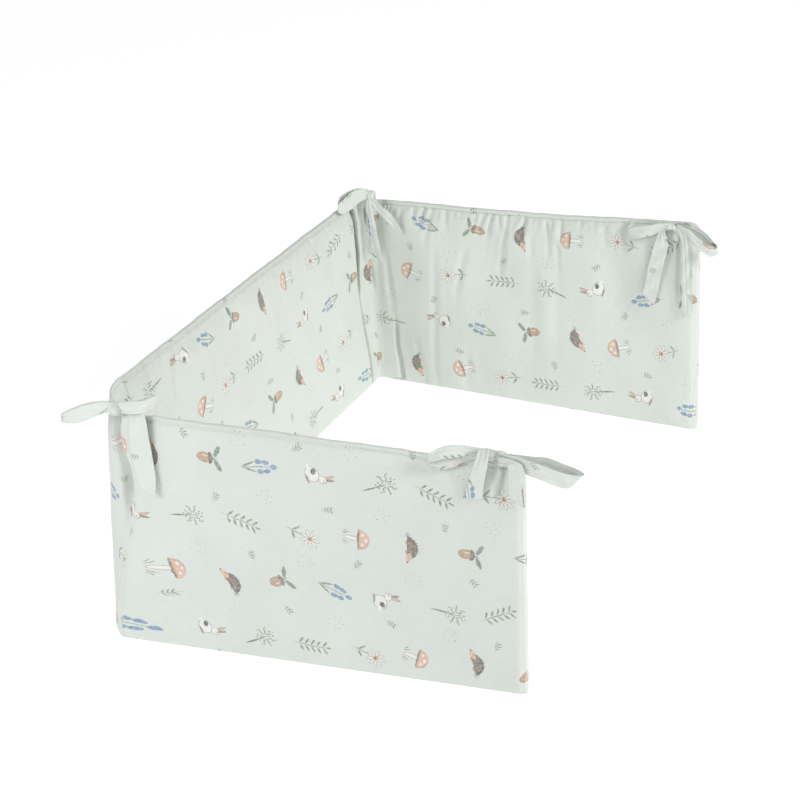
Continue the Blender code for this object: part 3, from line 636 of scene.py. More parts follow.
# the unsteady hand that drew the print, and the threads, slubs, crumples and stitches of the cloth, in
# metres. The four in the first line, and the slubs, are counted per metre
WOBBLES, SHADES, WASHES, CRUMPLES = 260.0, 9.0, 300.0, 75.0
SLUB_STRETCHES = ((900.0, 90.0, 1.0), (90.0, 900.0, 1.0))
SLUB_SHADES = (0.7, 1.3, 0.972, 1.016)  # thin and thick threads, and how light each is
HAND_WOBBLE = 0.0022
THREAD_SPACING, THREAD_DEPTH = 0.00045, 0.00004
SLUB_DEPTH, CRUMPLE_DEPTH = 0.00016, 0.0009
STITCH_LENGTH, STITCH_RISE = 0.0028, 0.0004


class Cloth:
    """Wires up the nodes of one cloth material. What adds a node gives its output."""

    def __init__(self, tree):
        self.tree = tree

    def node(self, kind, inputs=(), output=0, **settings):
        made = self.tree.nodes.new(kind)
        for name, value in settings.items():
            setattr(made, name, value)
        for key, value in dict(enumerate(inputs) if not isinstance(inputs, dict) else inputs).items():
            if isinstance(value, bpy.types.NodeSocket):
                self.tree.links.new(value, made.inputs[key])
            elif value is not None:
                made.inputs[key].default_value = value
        return made.outputs[output]

    def math(self, operation, *inputs):
        return self.node("ShaderNodeMath", inputs, operation=operation)

    def plus(self, first, second):
        return self.math("ADD", first, second)

    def minus(self, first, second):
        return self.math("SUBTRACT", first, second)

    def times(self, first, second):
        return self.math("MULTIPLY", first, second)

    def vector(self, operation, *inputs, output=0):
        return self.node("ShaderNodeVectorMath", inputs, output, operation=operation)

    def mix(self, share, first, second):
        return self.node("ShaderNodeMix", {0: share, 6: first, 7: second}, 2, data_type="RGBA")

    def ramp(self, value, low, high, to_low=0.0, to_high=1.0):
        """Smooth change from to_low at low to to_high at high."""
        inputs = (value, low, high, to_low, to_high)
        return self.node("ShaderNodeMapRange", inputs, interpolation_type="SMOOTHSTEP")

    def parts(self, vector):
        split = self.node("ShaderNodeSeparateXYZ", (vector,)).node
        return split.outputs[0], split.outputs[1]

    def join(self, x, y):
        return self.node("ShaderNodeCombineXYZ", (x, y))

    def noise(self, vector, scale, detail=2.0, output="Fac"):
        inputs = {"Vector": vector, "Scale": scale, "Detail": detail}
        return self.node("ShaderNodeTexNoise", inputs, output)

    def ring(self, x, y, count, rise):
        """Folds the plane into one petal of a ring of them, pointing along x."""
        y = self.minus(y, rise)
        petal = 2 * math.pi / count
        angle = self.math("FLOORED_MODULO", self.math("ARCTAN2", y, x), petal)
        angle = self.minus(angle, petal / 2)
        radius = self.vector("LENGTH", self.join(x, y), output=1)
        return self.join(*(self.times(radius, self.math(way, angle)) for way in ("COSINE", "SINE")))

    def folds_of(self, place):
        """The ways in which an oval is repeated inside its motif."""
        x, y = self.parts(place)
        mirrored = self.math("ABSOLUTE", x)
        step = self.math("ROUND", self.math("DIVIDE", y, RUNG))
        step = self.node("ShaderNodeClamp", (step, -2.0, 2.0))
        up_stem = self.minus(y, self.times(step, RUNG))
        below = self.times(self.math("LESS_THAN", y, SPINE_RISE), 50.0)
        return {
            "plain": place,
            "twin": self.join(mirrored, y),
            "ladder": self.join(mirrored, up_stem),
            "ring7": self.ring(x, y, 7, RING_RISE),
            "ring9": self.ring(x, y, 9, RING_RISE),
            "spines": self.ring(self.plus(x, self.plus(SPINE_SHIFT, below)), y, SPINES, SPINE_RISE),
        }

    def paint(self, colour, ovals, places, shown):
        """Lays a motif's ovals over the colour, one by one, where shown is 1."""
        for oval in ovals:
            turn = (0.0, 0.0, math.radians(oval.turn))
            inputs = (places[oval.fold], (oval.x, oval.y, 0.0), turn, (oval.wide, oval.high, 1.0))
            inside = self.node("ShaderNodeMapping", inputs, vector_type="TEXTURE")
            soft = min(0.45, SOFT_EDGE / min(oval.wide, oval.high))
            mask = self.ramp(self.vector("LENGTH", inside, output=1), 1 + soft, 1 - soft)
            if oval.half:
                mask = self.times(mask, self.math("GREATER_THAN", self.parts(inside)[1], 0.0))
            colour = self.mix(self.times(mask, shown), colour, INKS[oval.ink])
        return colour

    def cells(self, place, scatter):
        """The print's cells, in columns that are each half a cell higher than the last: the place inside the
        cell, in metres, and the cell's number in the repeat."""
        x, y = self.parts(place)
        column_place = self.plus(self.math("DIVIDE", x, CELL_WIDE), scatter.shift)
        column = self.math("FLOOR", column_place)
        drop = self.times(column, COLUMN_DROP)
        row_place = self.plus(self.plus(self.math("DIVIDE", y, CELL_HIGH), scatter.shift), drop)
        row = self.math("FLOOR", row_place)
        inside = self.join(
            self.times(self.minus(self.minus(column_place, column), 0.5), CELL_WIDE),
            self.times(self.minus(self.minus(row_place, row), 0.5), CELL_HIGH),
        )
        return inside, *(self.math("FLOORED_MODULO", number, float(REPEAT)) for number in (column, row))

    def settle(self, inside, column, row, scatter):
        """Moves and turns the cell's motif a little, as its number decides, and gives centimetres."""
        key = self.join(self.plus(column, scatter.seed), row)
        chance = self.node("ShaderNodeTexWhiteNoise", (key,), "Color", noise_dimensions="2D")
        offset = self.vector("SUBTRACT", chance, (0.5, 0.5, 0.5))
        offset = self.vector("MULTIPLY", offset, (scatter.wander, scatter.wander, 0.0))
        moved = self.vector("SUBTRACT", inside, offset)
        blue = self.node("ShaderNodeSeparateColor", (chance,), 2)
        turn = self.times(self.minus(blue, 0.5), scatter.swing)
        turned = self.node("ShaderNodeVectorRotate", {"Vector": moved, "Angle": turn}, rotation_type="Z_AXIS")
        x, y = self.parts(self.vector("MULTIPLY", turned, (CENTIMETRES, CENTIMETRES, 0.0)))
        mirror = self.minus(self.times(self.math("GREATER_THAN", blue, 0.5), 2.0), 1.0)
        return self.join(self.times(x, mirror), y)


def print_colour(cloth, flat, light_ground, dark_ground):
    """The ground with the woodland print. The inks lie thinner in some places, as water colour does."""
    wobble = cloth.vector("SUBTRACT", cloth.noise(flat, WOBBLES, 2.0, "Color"), (0.5, 0.5, 0.5))
    hand = cloth.vector("ADD", flat, cloth.vector("MULTIPLY", wobble, (HAND_WOBBLE, HAND_WOBBLE, 0.0)))
    ground = cloth.mix(cloth.ramp(cloth.noise(flat, SHADES, 3.0), 0.3, 0.7), light_ground, dark_ground)

    inside, column, row = cloth.cells(hand, MOTIF_SCATTER)
    kind = cloth.plus(cloth.times(column, 3.0), row)
    kind = cloth.math("FLOORED_MODULO", kind, float(len(MOTIFS)))
    places = cloth.folds_of(cloth.settle(inside, column, row, MOTIF_SCATTER))
    painted = ground
    for number, ovals in enumerate(MOTIFS.values()):
        painted = cloth.paint(painted, ovals, places, cloth.math("COMPARE", kind, float(number), 0.5))

    inside, column, row = cloth.cells(hand, SPRIG_SCATTER)
    place = cloth.settle(inside, column, row, SPRIG_SCATTER)
    x, y = cloth.parts(place)
    places = {"plain": place, "twin": cloth.join(cloth.math("ABSOLUTE", x), y)}
    kind = cloth.math("FLOORED_MODULO", cloth.plus(column, row), 2.0)
    sprig_here = cloth.math("COMPARE", kind, 0.0, 0.5)
    painted = cloth.paint(painted, SPRIG, places, sprig_here)
    painted = cloth.paint(painted, BUDS, places, cloth.minus(1.0, sprig_here))
    washed = cloth.ramp(cloth.noise(flat, WASHES, 3.0), 0.30, 0.70, 0.55, 0.88)
    return cloth.mix(washed, ground, painted)


def weave_relief(cloth, flat):
    """How high the threads of the plain weave, their slubs and the crumples stand, and the slubs alone."""
    turns = 2 * math.pi / THREAD_SPACING
    weave = cloth.times(*(cloth.math("SINE", cloth.times(way, turns)) for way in cloth.parts(flat)))
    stretched = [cloth.vector("MULTIPLY", flat, stretch) for stretch in SLUB_STRETCHES]
    slubs = cloth.plus(*(cloth.noise(vector, 1.0) for vector in stretched))
    relief = cloth.plus(cloth.times(weave, THREAD_DEPTH), cloth.times(slubs, SLUB_DEPTH))
    return cloth.plus(relief, cloth.times(cloth.noise(flat, CRUMPLES, 3.0), CRUMPLE_DEPTH)), slubs


def stitch_relief(cloth, flat):
    """The row of stitches below the top edge, each one a small rise along a narrow line."""
    below_top = cloth.node("ShaderNodeAttribute", output="Fac", attribute_name="below_top")
    from_seam = cloth.math("ABSOLUTE", cloth.minus(below_top, STITCH_DEPTHS["inner"][1]))
    stitch = cloth.math("SINE", cloth.times(cloth.parts(flat)[1], 2 * math.pi / STITCH_LENGTH))
    return cloth.times(cloth.times(cloth.ramp(from_seam, 0.0011, 0.0003), stitch), STITCH_RISE)


def printed_cotton(name, light_ground, dark_ground, stitched):
    """Woven cotton with the woodland print. stitched cloth has a row of stitches below its top edge."""
    material = bpy.data.materials.new(name)
    material.use_nodes = True
    tree = material.node_tree
    shader = tree.nodes["Principled BSDF"]
    cloth = Cloth(tree)
    flat = cloth.node("ShaderNodeUVMap", uv_map="flat_cloth")
    relief, slubs = weave_relief(cloth, flat)
    if stitched:
        relief = cloth.plus(relief, stitch_relief(cloth, flat))
    lightness = cloth.node("ShaderNodeCombineXYZ", (cloth.ramp(slubs, *SLUB_SHADES),) * 3)
    colour = cloth.vector("MULTIPLY", print_colour(cloth, flat, light_ground, dark_ground), lightness)
    bump = cloth.node("ShaderNodeBump", {"Strength": 1.0, "Distance": 1.0, "Height": relief})
    tree.links.new(colour, shader.inputs["Base Color"])
    tree.links.new(bump, shader.inputs["Normal"])
    for socket, value in COTTON_FINISH.items():
        shader.inputs[socket].default_value = value
    return material


band = sew_band(printed_cotton("printed_cotton_cover", ink(222, 228, 221), ink(219, 225, 218), True))
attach(band, "root")
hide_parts("padded_band")


# ---------------------------------------------------------------- the bows
# At each bend and near each free end, two cotton strips are sewn into the top edge and tied in a bow. The
# strips are hemmed all round, lie open at their ends, and are bunched into pleats where the knot holds them.

# Rows are offsets from the knot's middle: along the run, towards the side that the tails hang on, and up.
# lean tips a loop's upper edge away from that side, in degrees, or turns a tail in the plane that it hangs
# in. width is what the bunched strip measures there. A loop's first row is its root in the knot, where it
# also ends. slant is how much further one edge reaches than the middle, at a loop's tip or a tail's end
TieRow = namedtuple("TieRow", "along near up lean width")
Strand = namedtuple("Strand", "kind slant rows")
Bow = namedtuple("Bow", "run knot knot_size strands")


def lay_strip(kind, slant, rows):
    """A strand, from rows of (along, near, up, lean, width)."""
    return Strand(kind, slant, [TieRow(*row) for row in rows])


BOWS = {
    "tie_front_bend": Bow("front", (0.0400, 0.0100, 0.3112), (0.0190, 0.0086), {
        "loop_out": lay_strip("loop", 0.0, [
            (0.001, 0.0, 0.001, 0, 0.011), (-0.0098, 0.002, 0.0029, 5, 0.013),
            (-0.024, 0.005, 0.0006, 5, 0.0157), (-0.038, 0.009, -0.0037, 6, 0.0178),
            (-0.0522, 0.013, -0.0088, 6, 0.0168), (-0.0628, 0.0165, -0.0119, 6, 0.01),
            (-0.0495, 0.019, -0.0072, 6, 0.0171), (-0.0349, 0.016, -0.0021, 6, 0.0195),
            (-0.0214, 0.011, 0.0018, 5, 0.017), (-0.008, 0.006, 0.0042, 5, 0.013),
        ]),
        "loop_in": lay_strip("loop", 0.0, [
            (0.0, 0.001, 0.001, 5, 0.011), (0.0112, 0.006, 0.0058, 5, 0.015),
            (0.0254, 0.012, 0.0108, 5, 0.0169), (0.0373, 0.013, 0.0131, 5, 0.0162),
            (0.045, 0.004, 0.013, 5, 0.0158), (0.0497, -0.008, 0.0131, 5, 0.0142),
            (0.045, -0.012, 0.01, 5, 0.0135), (0.035, -0.005, 0.008, 5, 0.013),
            (0.023, -0.003, 0.005, 5, 0.012), (0.009, -0.002, 0.002, 5, 0.0105),
        ]),
        "tail_a": lay_strip("tail", 0.006, [
            (0.002, 0.001, 0.0, 60, 0.009), (0.012, 0.002, 0.001, 50, 0.011),
            (0.0223, 0.0045, 0.0027, 30, 0.015), (0.0292, 0.0085, 0.0035, 15, 0.019),
            (0.0318, 0.013, 0.0011, 8, 0.0215), (0.0335, 0.017, -0.0035, 7, 0.0228),
            (0.035, 0.0195, -0.0114, 7, 0.0238), (0.0364, 0.0215, -0.0235, 7, 0.0252),
            (0.0382, 0.0225, -0.0455, 8, 0.0264), (0.0404, 0.023, -0.0652, 8, 0.0256),
            (0.0424, 0.0245, -0.0783, 4, 0.023), (0.0437, 0.0265, -0.0935, 0, 0.0176),
        ]),
        "tail_b": lay_strip("tail", 0.003, [
            (0.002, 0.0, 0.0, 60, 0.009), (0.012, 0.001, 0.0, 50, 0.011), (0.0218, 0.0035, 0.0007, 30, 0.014),
            (0.0281, 0.007, -0.0008, 15, 0.0165), (0.0306, 0.0105, -0.0045, 8, 0.018),
            (0.0318, 0.014, -0.0112, 7, 0.0205), (0.0349, 0.0175, -0.0237, 7, 0.0215),
            (0.0384, 0.0195, -0.045, 8, 0.0222), (0.0412, 0.02, -0.0648, 8, 0.0212),
            (0.043, 0.021, -0.0829, 4, 0.018),
        ]),
    }),
    "tie_front_end": Bow("front", (0.5030, 0.0060, 0.3120), (0.0340, 0.0062), {
        "loop_left": lay_strip("loop", 0.0, [
            (0.001, 0.0, 0.002, 5, 0.009), (-0.012, 0.0005, 0.0025, 10, 0.0095),
            (-0.027, 0.0021, 0.0027, 20, 0.0112), (-0.0419, 0.0097, 0.0049, 35, 0.0151),
            (-0.0552, 0.0146, 0.004, 35, 0.0152), (-0.0662, 0.0178, -0.0003, 30, 0.0132),
            (-0.0725, 0.0184, -0.005, 20, 0.0105), (-0.0662, 0.0151, -0.01, 10, 0.0112),
            (-0.0567, 0.0134, -0.0126, 5, 0.0143), (-0.045, 0.0104, -0.0098, 5, 0.0138),
            (-0.0331, 0.0065, -0.0051, 5, 0.0113), (-0.015, 0.002, -0.001, 5, 0.0095),
        ]),
        "loop_right": lay_strip("loop", 0.005, [
            (-0.001, 0.0, 0.0, 0, 0.009), (0.014, 0.006, 0.0019, 1, 0.01), (0.0293, 0.011, 0.0006, 1, 0.0143),
            (0.0466, 0.015, -0.003, 1, 0.0195), (0.064, 0.015, -0.0077, 1, 0.0189),
            (0.0784, 0.013, -0.0134, 1, 0.0198), (0.0915, 0.01, -0.0165, 0, 0.0176),
            (0.1019, 0.005, -0.0131, 0, 0.012), (0.0914, 0.0, -0.0118, 0, 0.0163),
            (0.077, -0.002, -0.0091, 1, 0.0176), (0.0593, -0.003, -0.0049, 1, 0.0163),
            (0.0418, -0.003, -0.0053, 1, 0.015), (0.0243, -0.003, -0.0034, 1, 0.011),
        ]),
        "tail_a": lay_strip("tail", 0.0, [
            (-0.007, 0.0, 0.007, 8, 0.011), (-0.009, 0.008, 0.0095, 8, 0.0125),
            (-0.0089, 0.015, 0.0048, 8, 0.0148), (-0.0107, 0.019, -0.0049, 8, 0.0166),
            (-0.0143, 0.019, -0.0198, 8, 0.0184), (-0.0177, 0.019, -0.0346, 8, 0.0206),
            (-0.0203, 0.02, -0.0485, 0, 0.0224),
        ]),
        "tail_b": lay_strip("tail", 0.0054, [
            (0.001, 0.004, -0.002, 80, 0.009), (0.0086, 0.0085, -0.0024, 75, 0.012),
            (0.0184, 0.012, -0.0009, 45, 0.015), (0.0272, 0.015, 0.0003, 15, 0.017),
            (0.0302, 0.017, -0.002, 6, 0.018), (0.0316, 0.018, -0.0107, 4, 0.0198),
            (0.0313, 0.0175, -0.0268, 4, 0.0195), (0.0319, 0.0175, -0.0483, 0, 0.0178),
        ]),
    }),
    "tie_back_bend": Bow("back", (0.1390, 0.6865, 0.2945), (0.0120, 0.0070), {
        "loop_left": lay_strip("loop", 0.0, [
            (0.001, 0.001, 0.001, 0, 0.01), (-0.004, 0.006, 0.0045, 3, 0.014),
            (-0.0098, 0.014, 0.004, 3, 0.0195), (-0.0135, 0.026, 0.0038, 3, 0.024),
            (-0.0171, 0.038, 0.0024, 3, 0.0236), (-0.02, 0.048, 0.0006, 3, 0.0215),
            (-0.024, 0.055, 0.0008, 3, 0.0125), (-0.0262, 0.046, 0.0022, 3, 0.019),
            (-0.023, 0.034, 0.0042, 3, 0.02), (-0.018, 0.021, 0.006, 3, 0.018),
            (-0.012, 0.01, 0.0058, 3, 0.014), (-0.003, 0.002, 0.003, 0, 0.0105),
        ]),
        "tail_a": lay_strip("tail", 0.0046, [
            (-0.0015, 0.004, -0.001, 0, 0.0075), (-0.0008, 0.008, -0.0074, 0, 0.0068),
            (0.0012, 0.009, -0.0236, 8, 0.0098), (0.0028, 0.009, -0.0446, 9, 0.0136),
            (0.0036, 0.008, -0.0632, 9, 0.016), (0.005, 0.007, -0.0806, 4, 0.0185),
            (0.0071, 0.007, -0.0909, 0, 0.0205),
        ]),
        "tail_b": lay_strip("tail", 0.0, [
            (0.003, 0.003, -0.001, 20, 0.0095), (0.006, 0.006, -0.0062, 39, 0.013),
            (0.0139, 0.006, -0.0147, 40, 0.0125), (0.0217, 0.0045, -0.0223, 43, 0.014),
            (0.031, 0.003, -0.0335, 51, 0.014), (0.0385, 0.0015, -0.045, 48, 0.0115),
            (0.0425, 0.0005, -0.051, 46, 0.009),
        ]),
    }),
    "tie_back_end": Bow("back", (0.5640, 0.6599, 0.3045), (0.0190, 0.0050), {
        "loop_left": lay_strip("loop", 0.0, [
            (0.001, 0.001, 0.0, 0, 0.0095), (-0.0122, 0.005, -0.0015, 0, 0.0109),
            (-0.024, 0.007, -0.0067, 0, 0.0165), (-0.0362, 0.008, -0.0102, 0, 0.0171),
            (-0.0491, 0.007, -0.0141, 0, 0.0171), (-0.0582, 0.003, -0.017, 0, 0.0135),
            (-0.0543, -0.004, -0.0078, 0, 0.0132), (-0.0431, -0.004, -0.0054, 0, 0.0132),
            (-0.0274, -0.003, -0.0041, 0, 0.0117), (-0.01, -0.001, -0.001, 0, 0.01),
        ]),
        "loop_right": lay_strip("loop", 0.0, [
            (-0.001, 0.0, 0.0, 0, 0.0095), (0.011, 0.004, -0.001, 0, 0.0115),
            (0.0254, 0.007, -0.0051, 0, 0.0145), (0.0361, 0.009, -0.0127, 0, 0.0155),
            (0.0475, 0.01, -0.0188, 0, 0.015), (0.058, 0.008, -0.0243, 0, 0.0153),
            (0.0653, 0.003, -0.0235, 0, 0.0115), (0.0564, -0.001, -0.0192, 0, 0.0138),
            (0.0457, -0.0035, -0.0116, 0, 0.016), (0.0343, -0.0045, -0.0054, 0, 0.0152),
            (0.0221, -0.0035, 0.0001, 0, 0.0116), (0.008, -0.0015, 0.0005, 0, 0.01),
        ]),
        "tail_a": lay_strip("tail", 0.006, [
            (-0.008, 0.004, -0.0015, 0, 0.006), (-0.0104, 0.006, -0.0075, 9, 0.0085),
            (-0.0108, 0.007, -0.0131, 9, 0.013), (-0.0112, 0.007, -0.0234, 9, 0.0192),
            (-0.0138, 0.007, -0.037, 9, 0.0215), (-0.0175, 0.007, -0.0523, 9, 0.0212),
            (-0.0214, 0.007, -0.0721, 9, 0.0208), (-0.025, 0.007, -0.0921, 9, 0.0205),
            (-0.0291, 0.007, -0.1095, 0, 0.0175),
        ]),
        "tail_b": lay_strip("tail", -0.006, [
            (0.012, 0.0035, -0.001, 0, 0.0095), (0.0182, 0.006, -0.0062, 9, 0.0115),
            (0.0212, 0.0075, -0.0166, 9, 0.011), (0.0227, 0.008, -0.0352, 9, 0.0122),
            (0.0239, 0.0085, -0.0644, 9, 0.0132), (0.0252, 0.0085, -0.0938, 9, 0.014),
            (0.0275, 0.008, -0.1242, 0, 0.0158),
        ]),
    }),
}
TIE_WIDTH = 0.027
TIE_THICKNESS = 0.0011
HEM_SHARE, HEM_RISE = 0.12, 0.00025  # the part of the half width that is turned in and lies double
RIM_SHARE = 0.45
PLEAT_DEPTH = 0.0011
SWAY_DEPTH, SWAY_RATE = 0.0005, 190
SLANT_REACH = 0.02
ROW_STEPS = 8
STRIP_COLUMNS = 17


def smooth_rows(rows, closed):
    """Rows read from a smooth curve through the given rows."""
    count = len(rows)

    def row_at(i):
        return rows[i % count] if closed else rows[min(max(i, 0), count - 1)]

    result = []
    for i in range(count if closed else count - 1):
        for step in range(ROW_STEPS):
            t = step / ROW_STEPS
            weights = (
                (-t + 2 * t**2 - t**3) / 2,
                (2 - 5 * t**2 + 3 * t**3) / 2,
                (t + 4 * t**2 - 3 * t**3) / 2,
                (-t**2 + t**3) / 2,
            )
            near_rows = [row_at(i + k) for k in (-1, 0, 1, 2)]
            result.append(TieRow(*(sum(w * row[c] for w, row in zip(weights, near_rows)) for c in range(5))))
    if not closed:
        result.append(rows[-1])
    return result


def bow_axes(bow):
    """Directions along the bow's run and towards the side that its tails hang on."""
    ends = (1, 0) if bow.run == "front" else (2, 3)
    along = (Vector(CORNERS[ends[1]].foot) - Vector(CORNERS[ends[0]].foot)).normalized()
    near = Vector((along.y, -along.x))
    return along.to_3d(), near.to_3d()


def bow_place(bow, along, near, up):
    """A place that is given by its offsets from the bow's knot."""
    along_axis, near_axis = bow_axes(bow)
    knot = Vector(bow.knot) + plan_shift.to_3d()
    return knot + along_axis * along + near_axis * near + Vector((0.0, 0.0, up))


def strip_points(bow, strand, rows, centres, walked, phases):
    """Both sides of a strip, row by row, with its hems, its slow sway and its pleats where it is bunched."""
    closed, count = strand.kind == "loop", len(rows)
    along_axis, near_axis = bow_axes(bow)
    tip = max(range(count), key=lambda i: (centres[i] - centres[0]).length)
    outwards = (centres[tip] - centres[0]).normalized() if closed else Vector((0.0, 0.0, -1.0))
    sides = {1: [], -1: []}
    for i, row in enumerate(rows):
        following = centres[(i + 1) % count] if closed else centres[min(i + 1, count - 1)]
        previous = centres[i - 1] if closed or i else centres[0]
        lean = math.radians(row.lean)
        if closed:
            across = Vector((0.0, 0.0, math.cos(lean))) - near_axis * math.sin(lean)
        else:
            across = along_axis * math.cos(lean) + Vector((0.0, 0.0, math.sin(lean)))
        normal = (following - previous).cross(across).normalized()
        bunched = max(0.0, 1 - row.width / TIE_WIDTH)
        slanted = strand.slant * max(0.0, 1 - abs(walked[tip if closed else -1] - walked[i]) / SLANT_REACH)
        for column in range(STRIP_COLUMNS):
            t = 2 * column / (STRIP_COLUMNS - 1) - 1
            pleat = math.cos(2.5 * math.pi * t + phases[0]) + 0.5 * math.cos(4.2 * math.pi * t + phases[1])
            pleat *= PLEAT_DEPTH * bunched**1.5
            sway = SWAY_DEPTH * math.sin(walked[i] * SWAY_RATE + phases[2] + 2.2 * t)
            hem = HEM_RISE if abs(t) > 1 - HEM_SHARE else 0.0
            rim = RIM_SHARE if abs(t) > 0.999 else 1.0
            place = centres[i] + across * (row.width / 2 * t) + normal * (pleat + sway)
            place += outwards * (slanted * t)
            for side in (1, -1):
                sides[side].append(place + normal * side * (TIE_THICKNESS / 2 + hem) * rim)
    return sides[1] + sides[-1]


def strip_faces(count, closed, flat_place):
    """A strip's faces: both sides, the long edges and the open ends, with their places on the flat cloth."""
    back = count * STRIP_COLUMNS
    faces, uvs = [], []

    def sew(corners, places, order=1):
        faces.append(corners[::order])
        uvs.append([flat_place(*place) for place in places][::order])

    for i in range(count if closed else count - 1):
        row, next_row = i * STRIP_COLUMNS, (i + 1) % count * STRIP_COLUMNS
        for column in range(STRIP_COLUMNS - 1):
            a, b = row + column, next_row + column
            places = ((i, column), (i + 1, column), (i + 1, column + 1), (i, column + 1))
            sew((a, b, b + 1, a + 1), places)
            sew((a + back, b + back, b + back + 1, a + back + 1), places, -1)
        for column, order in ((0, 1), (STRIP_COLUMNS - 1, -1)):
            a, b = row + column, next_row + column
            places = ((i, column), (i, column), (i + 1, column), (i + 1, column))
            sew((a, a + back, b + back, b), places, order)
    if not closed:
        for i, order in ((0, -1), (count - 1, 1)):
            for column in range(STRIP_COLUMNS - 1):
                a = i * STRIP_COLUMNS + column
                places = ((i, column), (i, column), (i, column + 1), (i, column + 1))
                sew((a, a + back, a + back + 1, a + 1), places, order)
    return faces, uvs


def sew_strip(bow, strand, seed):
    """One strip of a bow: a double-sided sheet with hemmed edges, pleated where it is bunched."""
    chance = random.Random(seed)
    closed = strand.kind == "loop"
    rows = smooth_rows(strand.rows, closed)
    count = len(rows)
    centres = [bow_place(bow, row.along, row.near, row.up) for row in rows]
    phases = [chance.uniform(0, 2 * math.pi) for _ in range(3)]
    whole, walked = 0.0, []
    for i in range(count):
        walked.append(whole)
        if closed or i < count - 1:
            whole += (centres[(i + 1) % count] - centres[i]).length
    points = strip_points(bow, strand, rows, centres, walked, phases)
    start = chance.uniform(0.0, 0.3), chance.uniform(0.0, 0.3)

    def flat_place(i, column):
        rounds = whole if i >= count else 0.0
        return start[0] + TIE_WIDTH * column / (STRIP_COLUMNS - 1), start[1] + walked[i % count] + rounds

    return points, *strip_faces(count, closed, flat_place)


KNOT_RINGS = 22
KNOT_SIDES = 40
KNOT_CLOTH = (0.034, 0.047)  # what is wrapped round the knot: along it, and round it
KNOT_WRINKLE = 0.00045


def wrap_knot(bow, seed):
    """The part of a strip that is wrapped once round the middle, drawn in at both edges."""
    chance = random.Random(seed)
    length_of_knot, radius = bow.knot_size
    phase = chance.uniform(0, 2 * math.pi)
    points = []
    for ring in range(KNOT_RINGS + 1):
        t = 2 * ring / KNOT_RINGS - 1
        profile = (1 - abs(t) ** 3.2) ** 0.5 if abs(t) < 1 else 0.0
        for side in range(KNOT_SIDES):
            turn = 2 * math.pi * side / KNOT_SIDES
            wrinkle = KNOT_WRINKLE * math.cos(7.5 * t + phase + 0.9 * math.sin(turn)) * profile
            r = radius * (0.35 + 0.65 * profile) + wrinkle
            near = math.cos(turn) * r * (1 + 0.10 * math.cos(2 * turn))
            points.append(bow_place(bow, length_of_knot / 2 * t, near, math.sin(turn) * r))
    start = chance.uniform(0.0, 0.3), chance.uniform(0.0, 0.3)

    def flat_place(ring, side):
        return start[0] + KNOT_CLOTH[0] * ring / KNOT_RINGS, start[1] + KNOT_CLOTH[1] * side / KNOT_SIDES

    faces, uvs = [], []
    for ring in range(KNOT_RINGS):
        a, b = ring * KNOT_SIDES, (ring + 1) * KNOT_SIDES
        for side in range(KNOT_SIDES):
            following = (side + 1) % KNOT_SIDES
            faces.append((a + side, b + side, b + following, a + following))
            corners = ((ring, side), (ring + 1, side), (ring + 1, side + 1), (ring, side + 1))
            uvs.append([flat_place(*corner) for corner in corners])
    for ring, order in ((0, 1), (KNOT_RINGS, -1)):
        faces.append(tuple(ring * KNOT_SIDES + side for side in range(KNOT_SIDES))[::order])
        uvs.append([flat_place(ring, side) for side in range(KNOT_SIDES)][::order])
    return points, faces, uvs


def tie_bow(name, bow, material, seed):
    """All the cloth of one bow, as one object, with the area that it would have laid flat."""
    points, faces, uvs = [], [], []
    parts = [sew_strip(bow, strand, seed + i) for i, strand in enumerate(bow.strands.values())]
    parts.append(wrap_knot(bow, seed + 9))
    for part_points, part_faces, part_uvs in parts:
        start = len(points)
        points += [tuple(p) for p in part_points]
        faces += [tuple(start + i for i in face) for face in part_faces]
        uvs += part_uvs
    piece = add_cloth(name, points, faces, uvs, material)
    area = sum(polygon.area for polygon in piece.data.polygons) / 2
    return piece, area


# the ties' cotton is a shade lighter than the band's: painted light, standing in for the extra light that the
# ties catch
tie_cloth_painted_lighter = printed_cotton("printed_cotton_ties", ink(223, 229, 223), ink(220, 226, 220), False)
for number, (node_name, bow) in enumerate(BOWS.items()):
    piece, area = tie_bow(f"{node_name}_bow", bow, tie_cloth_painted_lighter, 20 + 10 * number)
    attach(piece, "root")
    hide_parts(node_name)


# ---------------------------------------------------------------- the studio
# A white floor that runs out of sight and glows, even light from all round with a cool soft lamp on the left
# and a warmer one on the right, and the camera above the bumper, to the right of its front.

# The photo's own camera, from the straight edges of the band. Angles are in degrees, and the focal length
# and the middle of the picture in its pixels
Camera = namedtuple("Camera", "place azimuth elevation roll focal_pixels middle")
PHOTO = Camera(Vector((1.2857, -2.6822, 1.9130)), 18.069, 28.423, 2.267, 2847.8, (411.7, 391.2))
PHOTO_SIDE = 800

azimuth, elevation, roll = (math.radians(a) for a in (PHOTO.azimuth, PHOTO.elevation, PHOTO.roll))
level_right = Vector((math.cos(azimuth), math.sin(azimuth), 0.0))
level_forward = Vector((-math.sin(azimuth), math.cos(azimuth), 0.0))
forward = level_forward * math.cos(elevation) - Vector((0.0, 0.0, math.sin(elevation)))
level_up = level_right.cross(forward)
right = level_right * math.cos(roll) - level_up * math.sin(roll)
up = level_right * math.sin(roll) + level_up * math.cos(roll)
lens = bpy.data.cameras.new("photo_camera")
lens.sensor_width = 36.0
lens.lens = PHOTO.focal_pixels / PHOTO_SIDE * lens.sensor_width
lens.shift_x = -(PHOTO.middle[0] - PHOTO_SIDE / 2) / PHOTO_SIDE
lens.shift_y = (PHOTO.middle[1] - PHOTO_SIDE / 2) / PHOTO_SIDE
camera = bpy.data.objects.new("photo_camera", lens)
bpy.context.scene.collection.objects.link(camera)
camera.matrix_world = Matrix((right, up, -forward)).transposed().to_4x4()
camera.location = PHOTO.place + plan_shift.to_3d()
bpy.context.scene.camera = camera

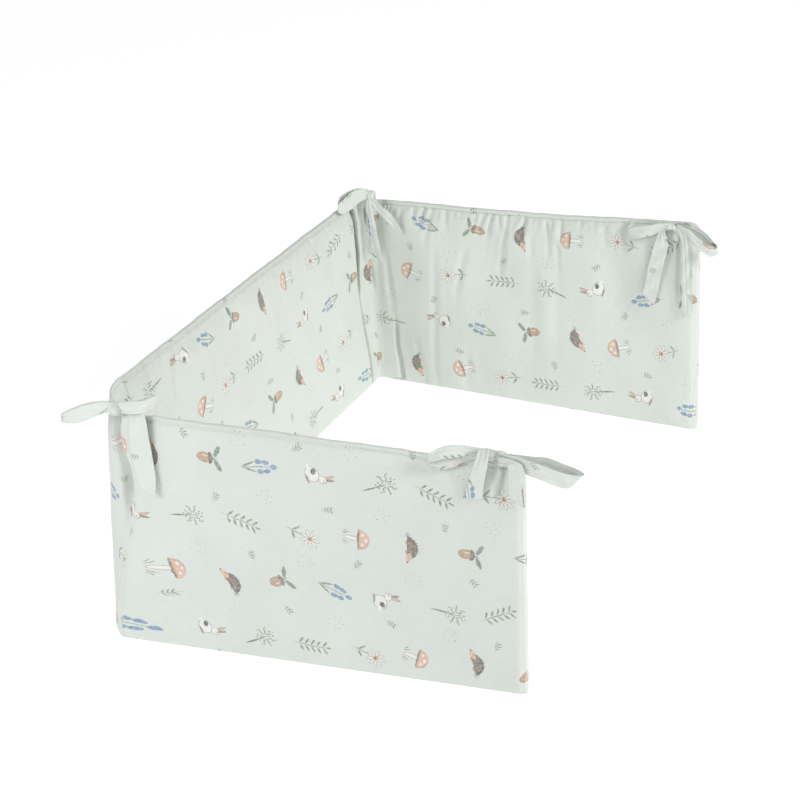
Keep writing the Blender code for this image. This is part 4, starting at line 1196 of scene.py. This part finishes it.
FLOOR_HALF_SIDE = 40.0
FLOOR_GREY, FLOOR_GLOW = 0.35, 0.80
ROOM_LIGHT = 0.42
WHITE = (1.0, 1.0, 1.0, 1.0)

floor_mesh = bpy.data.meshes.new("studio_floor")
signs = ((-1, -1), (1, -1), (1, 1), (-1, 1))
corners = [(x * FLOOR_HALF_SIDE, y * FLOOR_HALF_SIDE, 0.0) for x, y in signs]
floor_mesh.from_pydata(corners, [], [(0, 1, 2, 3)])
floor = bpy.data.objects.new("studio_floor", floor_mesh)
bpy.context.scene.collection.objects.link(floor)
floor_paint = bpy.data.materials.new("white_floor")
floor_paint.use_nodes = True
floor_shader = floor_paint.node_tree.nodes["Principled BSDF"]
floor_shader.inputs["Base Color"].default_value = (FLOOR_GREY, FLOOR_GREY, FLOOR_GREY, 1.0)
floor_shader.inputs["Roughness"].default_value = 0.9
floor_shader.inputs["Emission Color"].default_value = WHITE
floor_shader.inputs["Emission Strength"].default_value = FLOOR_GLOW
floor_mesh.materials.append(floor_paint)

world = bpy.data.worlds.new("white_room")
world.use_nodes = True
room = world.node_tree.nodes["Background"]
room.inputs["Color"].default_value = WHITE
room.inputs["Strength"].default_value = ROOM_LIGHT
bpy.context.scene.world = world
bpy.context.scene.view_settings.view_transform = "Standard"

Lamp = namedtuple("Lamp", "name place size energy colour")
LAMPS = [
    Lamp("soft_lamp_left", Vector((-0.9, -1.3, 0.9)), 0.7, 8.0, (0.94, 0.96, 1.0)),
    Lamp("soft_lamp_right", Vector((2.3, -0.65, 1.75)), 1.2, 43.0, (1.0, 0.99, 0.97)),
]
BAND_MIDDLE = Vector((0.0, 0.0, 0.15))
for row in LAMPS:
    light = bpy.data.lights.new(row.name, "AREA")
    light.shape = "DISK"
    light.size = row.size
    light.energy = row.energy
    light.color = row.colour
    lamp = bpy.data.objects.new(row.name, light)
    bpy.context.scene.collection.objects.link(lamp)
    lamp.location = row.place
    lamp.rotation_mode = "QUATERNION"
    lamp.rotation_quaternion = (BAND_MIDDLE - row.place).to_track_quat("-Z", "Y")
